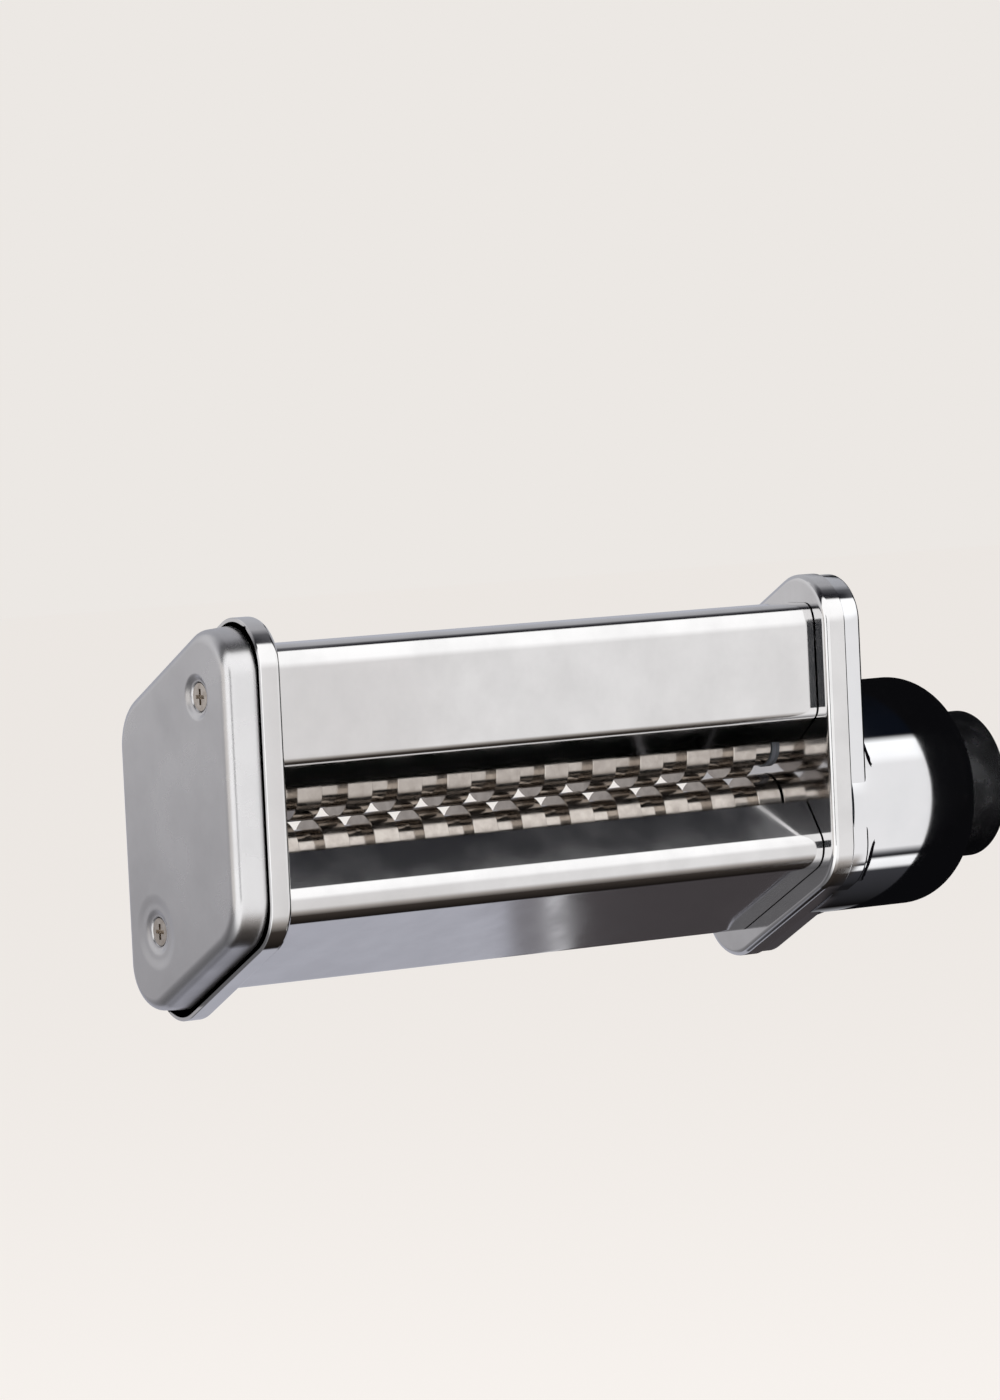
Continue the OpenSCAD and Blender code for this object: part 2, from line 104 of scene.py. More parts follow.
def feed(tree: bpy.types.NodeTree, node: bpy.types.Node, inputs: dict[Any, Any]) -> None:
    """Gives a node's inputs their values and links.

    Args:
        tree: The node tree.
        node: The node.
        inputs: Values or output sockets by input name or index.
    """
    for key, value in inputs.items():
        if isinstance(value, bpy.types.NodeSocket):
            tree.links.new(value, node.inputs[key])
        else:
            node.inputs[key].default_value = value


def add_node(
    tree: bpy.types.NodeTree, kind: str, inputs: dict[Any, Any] | None = None, **settings: Any
) -> bpy.types.Node:
    """Adds a shader node with its settings, values and links.

    Args:
        tree: The node tree.
        kind: The node's type, such as "ShaderNodeBump".
        inputs: Values or output sockets by input name or index.
        **settings: Properties of the node itself.

    Returns:
        The new node.
    """
    node = tree.nodes.new(kind)
    for key, value in settings.items():
        setattr(node, key, value)
    feed(tree, node, inputs or {})
    return node


def start_material(name: str, bare: bool = False) -> tuple[bpy.types.Material, bpy.types.NodeTree]:
    """Starts a node material.

    Args:
        name: Its name.
        bare: Whether only its output node is kept.

    Returns:
        The material and its node tree.
    """
    material = bpy.data.materials.new(name)
    material.use_nodes = True
    tree = material.node_tree
    if bare:
        tree.nodes.remove(tree.nodes["Principled BSDF"])
    return material, tree


def per_mm(size_mm: float) -> float:
    """Returns the texture scale, on metre coordinates, of a pattern with features of size_mm."""
    return 1.0 / (size_mm * MM)


class Grain(Enum):
    """The way a finish's fine marks run, as scales along X, Y and Z."""

    EVEN = (1.0, 1.0, 1.0)
    ALONG_X = (0.04, 1.0, 1.0)
    AROUND_X = (1.0, 0.02, 0.02)


@dataclass(frozen=True)
class MetalFinish:
    """A bare or plated metal surface.

    Colour varies slowly between two hues, roughness varies with the same clouds, and fine marks of the
    polishing, blasting or turning are in the bump, with a slow wave under them where wave_mm is given.
    """

    name: str
    colour: str
    clouded: str
    cloud_mm: float
    roughness: tuple[float, float]
    grain_mm: float
    grain: Grain
    grain_depth_mm: float
    wave_mm: float = 0.0
    wave_depth_mm: float = 0.0

    def build(self) -> bpy.types.Material:
        """Builds the material.

        Returns:
            A node material that reads Object coordinates only.
        """
        material, tree = start_material(self.name)
        place = add_node(tree, "ShaderNodeTexCoord").outputs["Object"]
        clouds = add_node(tree, "ShaderNodeTexNoise", {
            "Vector": place, "Scale": per_mm(self.cloud_mm), "Detail": 4.0, "Roughness": 0.55,
        })
        tone = add_node(tree, "ShaderNodeMapRange", {
            "Value": clouds.outputs["Fac"], "From Min": CLOUD_LOW, "From Max": CLOUD_HIGH,
        })
        colour = add_node(tree, "ShaderNodeMix", {
            "Factor": tone.outputs["Result"], "A": linear(self.colour), "B": linear(self.clouded),
        }, data_type="RGBA")
        rough = add_node(tree, "ShaderNodeMapRange", {
            "Value": tone.outputs["Result"], "To Min": self.roughness[0], "To Max": self.roughness[1],
        })
        along = add_node(tree, "ShaderNodeMapping", {"Vector": place, "Scale": self.grain.value})
        marks = add_node(tree, "ShaderNodeTexNoise", {
            "Vector": along.outputs["Vector"], "Scale": per_mm(self.grain_mm), "Detail": 3.0,
            "Roughness": 0.6,
        })
        bump = add_node(tree, "ShaderNodeBump", {
            "Height": marks.outputs["Fac"], "Strength": 1.0, "Distance": self.grain_depth_mm * MM,
        })
        if self.wave_mm:
            swell = add_node(tree, "ShaderNodeTexNoise", {
                "Vector": place, "Scale": per_mm(self.wave_mm), "Detail": 1.0,
            })
            bump = add_node(tree, "ShaderNodeBump", {
                "Height": swell.outputs["Fac"], "Strength": 1.0, "Distance": self.wave_depth_mm * MM,
                "Normal": bump.outputs["Normal"],
            })
        feed(tree, tree.nodes["Principled BSDF"], {
            "Base Color": colour.outputs["Result"], "Roughness": rough.outputs["Result"],
            "Normal": bump.outputs["Normal"], "Metallic": 1.0,
        })
        return material


@dataclass(frozen=True)
class MouldedFinish:
    """A moulded plastic or rubber: a dull body with a fine moulded grain and slight mottling."""

    name: str
    colour: str
    mottle: str
    roughness: float
    ior: float
    grain_mm: float
    grain_depth_mm: float

    def build(self) -> bpy.types.Material:
        """Builds the material.

        Returns:
            A node material that reads Object coordinates only.
        """
        material, tree = start_material(self.name)
        place = add_node(tree, "ShaderNodeTexCoord").outputs["Object"]
        spots = add_node(tree, "ShaderNodeTexNoise", {
            "Vector": place, "Scale": per_mm(self.grain_mm * MOTTLE_GRAINS), "Detail": 3.0,
        })
        colour = add_node(tree, "ShaderNodeMix", {
            "Factor": spots.outputs["Fac"], "A": linear(self.colour), "B": linear(self.mottle),
        }, data_type="RGBA")
        grain = add_node(tree, "ShaderNodeTexNoise", {
            "Vector": place, "Scale": per_mm(self.grain_mm), "Detail": 2.0,
        })
        rough = add_node(tree, "ShaderNodeMapRange", {
            "Value": grain.outputs["Fac"], "To Min": self.roughness - MOULD_SPREAD,
            "To Max": self.roughness + MOULD_SPREAD,
        })
        bump = add_node(tree, "ShaderNodeBump", {
            "Height": grain.outputs["Fac"], "Strength": 1.0, "Distance": self.grain_depth_mm * MM,
        })
        feed(tree, tree.nodes["Principled BSDF"], {
            "Base Color": colour.outputs["Result"], "Roughness": rough.outputs["Result"],
            "Normal": bump.outputs["Normal"], "IOR": self.ior,
        })
        return material


Finish = MetalFinish | MouldedFinish

# Polished 18/10 stainless sheet: a near mirror with faint cloudy marks left by handling and cleaning.
POLISHED_SHEET = MetalFinish(
    "polished_stainless_sheet", "#e6e5e5", "#dddcdc", 12.0, (0.07, 0.11), 0.30, Grain.ALONG_X, 0.0001,
    34.0, 0.008,
)
# Pressed stainless with a blasted satin finish: soft, wide highlights and a fine even grain.
SATIN_PRESSING = MetalFinish(
    "blasted_satin_stainless", "#d9d8d9", "#cfcecf", 16.0, (0.26, 0.33), 0.12, Grain.EVEN, 0.0004,
    24.0, 0.005,
)
# Fine-turned tool steel: warm, with marks that run around the roller.
TURNED_ROLLER = MetalFinish(
    "turned_tool_steel", "#c2bbb4", "#b1a9a2", 3.0, (0.14, 0.24), 0.10, Grain.AROUND_X, 0.0012,
)
# Polished die casting under bright chrome plate: a mirror with a slow orange-peel swell.
CHROMED_CASTING = MetalFinish(
    "chromed_die_casting", "#ececee", "#e5e6e8", 20.0, (0.03, 0.05), 0.30, Grain.EVEN, 0.0001,
    16.0, 0.008,
)
# Nickel-plated steel screws: warm and bright, clouded darker at random.
NICKEL_SCREW = MetalFinish(
    "nickel_plated_steel", "#d5cdc4", "#b9aea3", 1.5, (0.14, 0.26), 0.20, Grain.EVEN, 0.0010,
)
# Zinc-plated steel rods and screws: cool grey with a cloudy passivated look.
ZINC_PLATE = MetalFinish(
    "zinc_plated_steel", "#c3c6ca", "#a9adb2", 4.0, (0.28, 0.42), 0.15, Grain.EVEN, 0.0010,
)
# Blackened spring steel clips, socket screws and drive pin: dark grey with a soft shine.
BLACK_OXIDE = MetalFinish(
    "black_oxide_steel", "#3a3b3d", "#2a2b2d", 2.0, (0.35, 0.48), 0.12, Grain.EVEN, 0.0010,
)
# Turned carbon steel shaft, collar and pin: bright, with circular tool marks.
TURNED_SHAFT = MetalFinish(
    "turned_carbon_steel", "#b9babc", "#a2a3a6", 6.0, (0.18, 0.30), 0.12, Grain.AROUND_X, 0.0018,
)
# Sintered steel gears: dull, finely porous and slightly oily.
SINTERED_GEAR = MetalFinish(
    "sintered_steel", "#8d8983", "#75716c", 2.0, (0.42, 0.55), 0.18, Grain.EVEN, 0.0030,
)
# Oiled sintered bronze bushing: brown-gold and finely porous.
SINTERED_BRONZE = MetalFinish(
    "sintered_bronze", "#a87d4c", "#8c6538", 2.0, (0.34, 0.46), 0.18, Grain.EVEN, 0.0026,
)
# Moulded nylon bushings: cool grey, slightly waxy.
NYLON = MouldedFinish("moulded_nylon", "#7d828b", "#6f747d", 0.42, 1.53, 0.3, 0.0020)
# Moulded acetal combs: pale grey and slippery.
ACETAL = MouldedFinish("moulded_acetal", "#c9cacb", "#bcbdbf", 0.34, 1.48, 0.3, 0.0015)
# Nitrile rubber seal: near black and dull.
NITRILE = MouldedFinish("nitrile_rubber", "#1c1c1d", "#232324", 0.60, 1.52, 0.2, 0.0030)


class FinishShelf:
    """Builds each finish once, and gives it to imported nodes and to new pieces."""

    def __init__(self) -> None:
        """Starts with nothing built."""
        self._built: dict[str, bpy.types.Material] = {}

    def _material(self, finish: Finish) -> bpy.types.Material:
        """Returns the material of a finish, building it the first time."""
        if finish.name not in self._built:
            self._built[finish.name] = finish.build()
        return self._built[finish.name]

    def dress(self, finish: Finish, *nodes: str) -> None:
        """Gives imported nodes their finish.

        Args:
            finish: The finish that they take.
            *nodes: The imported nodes' names.
        """
        material = self._material(finish)
        for node in nodes:
            materials = frame["nodes"][node].data.materials
            if not materials:
                materials.append(material)
            for index in range(len(materials)):
                materials[index] = material
            log.info("dressed %s: %s", node, finish.name)

    def keep(
        self, bm: Mesh, node: str, kind: str, finish: Finish, slot: str, body: str = "frame"
    ) -> None:
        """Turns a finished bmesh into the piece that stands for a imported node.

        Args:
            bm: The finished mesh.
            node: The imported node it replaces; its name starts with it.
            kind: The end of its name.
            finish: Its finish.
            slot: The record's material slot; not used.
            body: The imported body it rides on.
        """
        name = f"{node}_{kind}"
        bmesh.ops.remove_doubles(bm, verts=list(bm.verts), dist=WELD)
        bmesh.ops.dissolve_degenerate(bm, edges=list(bm.edges), dist=HAIR)
        bmesh.ops.recalc_face_normals(bm, faces=list(bm.faces))
        for face in bm.faces:
            face.smooth = True
        for edge in bm.edges:
            if len(edge.link_faces) == 2:
                edge.smooth = edge.calc_face_angle(0.0) < SHARP_ANGLE
        mesh = bpy.data.meshes.new(name)
        bm.to_mesh(mesh)
        bm.free()
        piece = bpy.data.objects.new(name, mesh)
        bpy.context.scene.collection.objects.link(piece)
        mesh.materials.append(self._material(finish))
        even = piece.modifiers.new("even_shading", "WEIGHTED_NORMAL")
        even.mode = "FACE_AREA"
        even.weight = 50
        even.keep_sharp = True
        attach(piece, body)
        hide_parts(node)
        log.info("built %s: %d faces on %s", name, len(mesh.polygons), body)


# --- Shapes ---


@dataclass(frozen=True)
class Layout:
    """Where the main planes and axes lie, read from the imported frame."""

    left_x: float
    right_x: float
    mid_y: float
    mid_z: float
    lower_axis: Vector
    upper_axis: Vector

    @classmethod
    def from_frame(cls) -> "Layout":
        """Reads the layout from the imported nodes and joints.

        Returns:
            The layout at rest.
        """
        axes = {joint["child"]: Vector(joint["pos_m"]) for joint in frame["joints"]}
        lower = axes["lower_roller"]
        return cls(
            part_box("left_side_plate")[1].x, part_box("right_side_plate")[0].x,
            lower.y + MIDDLE_BEHIND_MM * MM, lower.z + MIDDLE_ABOVE_MM * MM, lower, axes["upper_roller"],
        )

    @property
    def length_mm(self) -> float:
        """Returns the length between the side plates in mm."""
        return (self.right_x - self.left_x) / MM

    def x(self, from_left_mm: float) -> float:
        """Returns the row X of a plane given from the left plate's inner face."""
        return self.left_x + from_left_mm * MM

    def right(self, from_right_mm: float) -> float:
        """Returns the row X of a plane given from the right plate's inner face."""
        return self.right_x + from_right_mm * MM

    def across(self, y_mm: float, z_mm: float) -> Spot:
        """Returns the row Y and Z of a point given from the middle line."""
        return (self.mid_y + y_mm * MM, self.mid_z + z_mm * MM)


@dataclass(frozen=True)
class Corner:
    """A rounded corner of an outline in the plane across the rollers, in metres and radians."""

    y: float
    z: float
    radius: float
    start: float
    sweep: float

    def point(self, inset_mm: float, turn: float) -> Spot:
        """Returns the Y and Z of the corner's arc at an angle, for a line inside the outline."""
        radius = self.radius - inset_mm * MM
        return (self.y + radius * math.cos(turn), self.z + radius * math.sin(turn))


@dataclass(frozen=True)
class LeaningOutline:
    """A rounded parallelogram whose top and bottom edges fall to the back, all in mm."""

    front_mm: float
    back_mm: float
    top_mm: float
    bottom_mm: float
    sharp_mm: float
    blunt_mm: float
    slope_deg: float = 27.7

    def corners(self, layout: Layout) -> list[Corner]:
        """Works out the four corners, counter-clockwise seen from +X.

        Args:
            layout: The planes and axes.

        Returns:
            Corners from the bottom front round to the top front.
        """
        slope = math.radians(self.slope_deg)
        small, wide = math.pi / 2 - slope, math.pi / 2 + slope
        blunt, sharp = self.blunt_mm, self.sharp_mm
        corners = []
        for y, side, radius, start, sweep in (
            (blunt - self.front_mm, -1, blunt, math.pi, small),
            (self.back_mm - sharp, -1, sharp, math.pi + small, wide),
            (self.back_mm - blunt, 1, blunt, 0.0, small),
            (sharp - self.front_mm, 1, sharp, small, wide),
        ):
            edge = self.top_mm if side > 0 else -self.bottom_mm
            z = edge - y * math.tan(slope) - side * radius / math.cos(slope)
            corners.append(Corner(*layout.across(y, z), radius * MM, start, sweep))
        return corners


PLATE_OUTLINE = LeaningOutline(28.5, 25.6, 37.5, 39.1, 11.2, 12.5)
CAP_OUTLINE = LeaningOutline(26.3, 23.3, 35.8, 36.6, 10.2, 13.0)


def arc(bm: Mesh, start: Point, centre: Point, angle: float, steps: int) -> tuple[Vert, Vert]:
    """Spins a vertex into an arc about an axis along X.

    Args:
        bm: The mesh being built.
        start: Where the arc starts.
        centre: Its centre.
        angle: Its sweep.
        steps: Its number of edges.

    Returns:
        Its first and last vertex.
    """
    first = bm.verts.new(start)
    turned = bmesh.ops.spin(bm, geom=[first], cent=centre, axis=(1, 0, 0), angle=angle, steps=steps)
    return first, next(g for g in turned["geom_last"] if isinstance(g, Vert))


def chain(bm: Mesh, verts: list[Vert], closed: bool = True) -> Edges:
    """Joins vertices in order, and the last one to the first if the chain is closed."""
    following = verts[1:] + (verts[:1] if closed else [])
    return [bm.edges.new(pair) for pair in zip(verts, following)]


def outline_loop(bm: Mesh, corners: list[Corner], inset_mm: float, x: float) -> Edges:
    """Draws one loop of the rounded outline.

    Args:
        bm: The mesh being built.
        corners: The outline's corners.
        inset_mm: How far inside the outline the loop runs.
        x: The loop's plane.

    Returns:
        The loop's edges.
    """
    before = len(bm.edges)
    ends = [
        arc(bm, (x, *c.point(inset_mm, c.start)), (x, c.y, c.z), c.sweep, CORNER_STEPS) for c in corners
    ]
    for (_, last), (first, _) in zip(ends, ends[1:] + ends[:1]):
        bm.edges.new((last, first))
    bm.edges.ensure_lookup_table()
    return list(bm.edges)[before:]


def ray_reach(corners: list[Corner], inset_mm: float, start: Spot, angle: float) -> float:
    """Measures how far a rounded outline lies from a point inside it.

    Args:
        corners: The outline's corners.
        inset_mm: How far inside the outline the edge runs.
        start: Y and Z of the point.
        angle: The direction, from +Y towards +Z.

    Returns:
        The distance in metres.
    """
    points = [
        Vector(c.point(inset_mm, c.start + c.sweep * k / CORNER_STEPS))
        for c in corners for k in range(CORNER_STEPS + 1)
    ]
    way = Vector((math.cos(angle), math.sin(angle)))
    reach = 0.0
    for low, high in zip(points, points[1:] + points[:1]):
        edge = high - low
        across = way.x * edge.y - way.y * edge.x
        if abs(across) < NEAR_PARALLEL:
            continue
        gap = low - Vector(start)
        far = (gap.x * edge.y - gap.y * edge.x) / across
        share = (gap.x * way.y - gap.y * way.x) / across
        if far > 0 and -OVERSHOOT <= share <= 1 + OVERSHOOT:
            reach = max(reach, far)
    return reach


def ring_loop(bm: Mesh, centre: Spot, radius: float, x: float, steps: int = HOLE_STEPS) -> Edges:
    """Draws a circle across the rollers.

    Args:
        bm: The mesh being built.
        centre: The circle's Y and Z.
        radius: Its radius in metres.
        x: Its plane.
        steps: Its number of edges.

    Returns:
        The circle's edges.
    """
    spot = Matrix.Translation((x, *centre)) @ Matrix.Rotation(math.pi / 2, 4, "Y")
    made = bmesh.ops.create_circle(bm, segments=steps, radius=radius, matrix=spot)
    return list(dict.fromkeys(edge for vert in made["verts"] for edge in vert.link_edges))


def loft(bm: Mesh, loops: list[Edges]) -> None:
    """Bridges each loop to the next."""
    for first, second in zip(loops, loops[1:]):
        bmesh.ops.bridge_loops(bm, edges=first + second)


def flat_fill(bm: Mesh, loops: list[Edges], normal: tuple[int, int, int]) -> None:
    """Fills the flat region between an outer loop and the holes in it."""
    edges = [edge for loop in loops for edge in loop]
    bmesh.ops.triangle_fill(bm, use_beauty=True, use_dissolve=False, edges=edges, normal=normal)


def fold(inset_mm: float, x: float, radius_mm: float, way: int, steps: int = FOLD_STEPS) -> list[Spot]:
    """Lists the loops of a quarter-round edge, from the side wall to the face.

    Args:
        inset_mm: The side wall's inset.
        x: The face's plane in metres.
        radius_mm: The edge's radius.
        way: +1 if the face looks along +X, -1 if along -X.
        steps: Number of steps in the quarter.

    Returns:
        Pairs of inset in mm and plane in metres.
    """
    angles = [math.pi / 2 * i / steps for i in range(steps + 1)]
    return [
        (inset_mm + radius_mm * (1 - math.cos(a)), x - way * radius_mm * (1 - math.sin(a)) * MM)
        for a in angles
    ]


def pan(
    bm: Mesh, corners: list[Corner], outside: list[Spot], inside: list[Spot]
) -> tuple[Edges, Edges]:
    """Lofts the walls of a pressed pan, whose faces are still open.

    Args:
        bm: The mesh being built.
        corners: The outline's corners.
        outside: Inset in mm and plane in metres of each outer loop, from the free edge.
        inside: The same of each inner loop.

    Returns:
        The open edges of the outer and of the inner face.
    """
    outer, inner = ([outline_loop(bm, corners, i, x) for i, x in skin] for skin in (outside, inside))
    loft(bm, outer)
    loft(bm, inner)
    loft(bm, [outer[0], inner[0]])
    return outer[-1], inner[-1]


def lathe(bm: Mesh, profile: list[Spot], axis: Vector, closed: bool) -> None:
    """Turns a profile about an axis along X.

    Args:
        bm: The mesh being built.
        profile: Points as X and radius, in metres.
        axis: A point on the axis.
        closed: Whether the last point joins the first.
    """
    verts = [bm.verts.new((x, axis.y, axis.z + radius)) for x, radius in profile]
    bmesh.ops.spin(
        bm, geom=verts + chain(bm, verts, closed), cent=axis, axis=(1, 0, 0), angle=2 * math.pi,
        steps=TURN_STEPS, use_merge=True,
    )
    on_axis = [v for v in bm.verts if math.hypot(v.co.y - axis.y, v.co.z - axis.z) < HAIR]
    bmesh.ops.remove_doubles(bm, verts=on_axis, dist=HAIR)


# --- Sub-assemblies ---


@dataclass
class SidePlates:
    """Two pans of polished sheet, rims folded outwards, which carry everything."""

    layout: Layout
    outline: LeaningOutline
    shelf: FinishShelf
    rim_mm: float = 5.4
    fold_mm: float = 1.5
    sheet_mm: float = 1.0
    edge_break_mm: float = 0.15
    bushing_mm: float = 4.02
    comb_rod_mm: float = 2.0

    def build(self) -> None:
        """Builds both plates."""
        self._plate("left_side_plate", self.layout.left_x, 1)
        self._plate("right_side_plate", self.layout.right_x, -1)

    def _holes(self) -> list[tuple[Spot, float]]:
        """Lists the holes for the roller bushings and the comb rods.

        Returns:
            The centre and radius of each hole in metres.
        """
        low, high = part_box("comb_rods")
        rod_y, rod = (low.y + high.y) / 2, self.comb_rod_mm * MM
        axes = (self.layout.lower_axis, self.layout.upper_axis)
        holes = [((axis.y, axis.z), self.bushing_mm * MM) for axis in axes]
        return holes + [((rod_y, z), rod) for z in (high.z - rod, low.z + rod)]

    def _plate(self, node: str, face_x: float, way: int) -> None:
        """Builds one plate.

        Args:
            node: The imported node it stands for.
            face_x: The plane of its inner face.
            way: +1 if that face looks along +X, -1 if along -X.
        """
        bm = bmesh.new()
        free_x = face_x - way * self.rim_mm * MM
        lip_x = free_x + way * self.edge_break_mm * MM
        back_x = face_x - way * self.sheet_mm * MM
        outside = [(self.edge_break_mm, free_x), (0.0, lip_x)]
        inside = [(self.sheet_mm - self.edge_break_mm, free_x), (self.sheet_mm, lip_x)]
        outside += fold(0.0, face_x, self.fold_mm, way)
        inside += fold(self.sheet_mm, back_x, self.fold_mm - self.sheet_mm, way)
        outer, inner = pan(bm, self.outline.corners(self.layout), outside, inside)
        faces = []
        for loop, x in ((outer, face_x), (inner, back_x)):
            rings = [ring_loop(bm, spot, radius, x) for spot, radius in self._holes()]
            flat_fill(bm, [loop] + rings, (1, 0, 0))
            faces.append(rings)
        for rings in zip(*faces):
            loft(bm, list(rings))
        self.shelf.keep(bm, node, "pressing", POLISHED_SHEET, "polished_steel")


@dataclass(frozen=True)
class Dish:
    """A smooth round dish in a flat face, whose rim may already lie below the face."""

    radius_mm: float
    floor_radius_mm: float
    depth_mm: float
    rim_depth_mm: float = 0.0

    def rings(self) -> list[Spot]:
        """Lists the dish's rings.

        Returns:
            Pairs of radius and depth in mm, from the rim inwards.
        """
        rings = []
        for i in range(DISH_STEPS + 1):
            share = i / DISH_STEPS
            fall = 0.5 - 0.5 * math.cos(math.pi * share)
            radius = self.radius_mm + (self.floor_radius_mm - self.radius_mm) * share
            rings.append((radius, self.rim_depth_mm + self.depth_mm * fall))
        return rings


@dataclass(frozen=True)
class ScrewSeat:
    """Where a screw of the end cap sits, given from the middle line, and the dishes round it."""

    place_mm: Spot
    dishes: tuple[Dish, ...]


@dataclass
class EndCap:
    """The pressed satin cap over the gears, with its two screws in dished seats."""

    layout: Layout
    outline: LeaningOutline
    shelf: FinishShelf
    height_mm: float = 13.1
    root_mm: float = 2.0
    wall_mm: float = 1.2
    edge_mm: float = 2.9
    edge_steps: int = 14
    flare_mm: float = 0.7
    boss_mm: float = 5.2
    boss_floor_mm: float = 3.2
    # Radius and depth of a screw hole's mouth and bottom.
    hole_mm: tuple[Spot, ...] = ((3.3, 1.05), (1.7, 2.65))
    # The lower screw's seat lies in a wider, shallow dent.
    seats: tuple[ScrewSeat, ...] = (
        ScrewSeat((-13.4, 28.3), (Dish(5.3, 3.45, 0.75),)),
        ScrewSeat((9.8, -24.3), (Dish(8.7, 5.7, 0.25), Dish(5.3, 3.45, 0.48, 0.27))),
    )

    def build(self) -> None:
        """Builds the cap and dresses its screws and standoffs."""
        bm = bmesh.new()
        face_x = self.layout.x(-self.height_mm)
        inner_x = face_x + self.wall_mm * MM
        root_x = self.layout.x(-self.root_mm)
        outside = [(-self.flare_mm, root_x)] + fold(0.0, face_x, self.edge_mm, -1, self.edge_steps)
        inside = [(self.wall_mm - self.flare_mm, root_x)]
        inside += fold(self.wall_mm, inner_x, self.edge_mm - self.wall_mm, -1)
        outer, inner = pan(bm, self.outline.corners(self.layout), outside, inside)
        wells = []
        for seat in self.seats:
            rings = [ring for dish in seat.dishes for ring in dish.rings()] + list(self.hole_mm)
            wells.append(self._well(bm, seat, face_x, rings))
        flat_fill(bm, [outer] + wells, (-1, 0, 0))
        boss = [(self.boss_mm, self.wall_mm), (self.boss_mm, self.boss_floor_mm)]
        bosses = [self._well(bm, seat, face_x, boss) for seat in self.seats]
        flat_fill(bm, [inner] + bosses, (1, 0, 0))
        self.shelf.keep(bm, "end_cap", "pressing", SATIN_PRESSING, "satin_steel")
        self.shelf.dress(NICKEL_SCREW, "end_cap_screws")
        self.shelf.dress(ZINC_PLATE, "cap_standoffs")

    def _well(self, bm: Mesh, seat: ScrewSeat, face_x: float, rings: list[Spot]) -> Edges:
        """Lofts a round well about a screw and closes its bottom.

        Args:
            bm: The mesh being built.
            seat: The screw's seat.
            face_x: The plane of the cap's face.
            rings: Radius and depth of each ring in mm.

        Returns:
            The edges of the well's rim.
        """
        spot = self.layout.across(*seat.place_mm)
        loops = [ring_loop(bm, spot, radius * MM, face_x + depth * MM) for radius, depth in rings]
        loft(bm, loops)
        bmesh.ops.contextual_create(bm, geom=loops[-1])
        return loops[0]


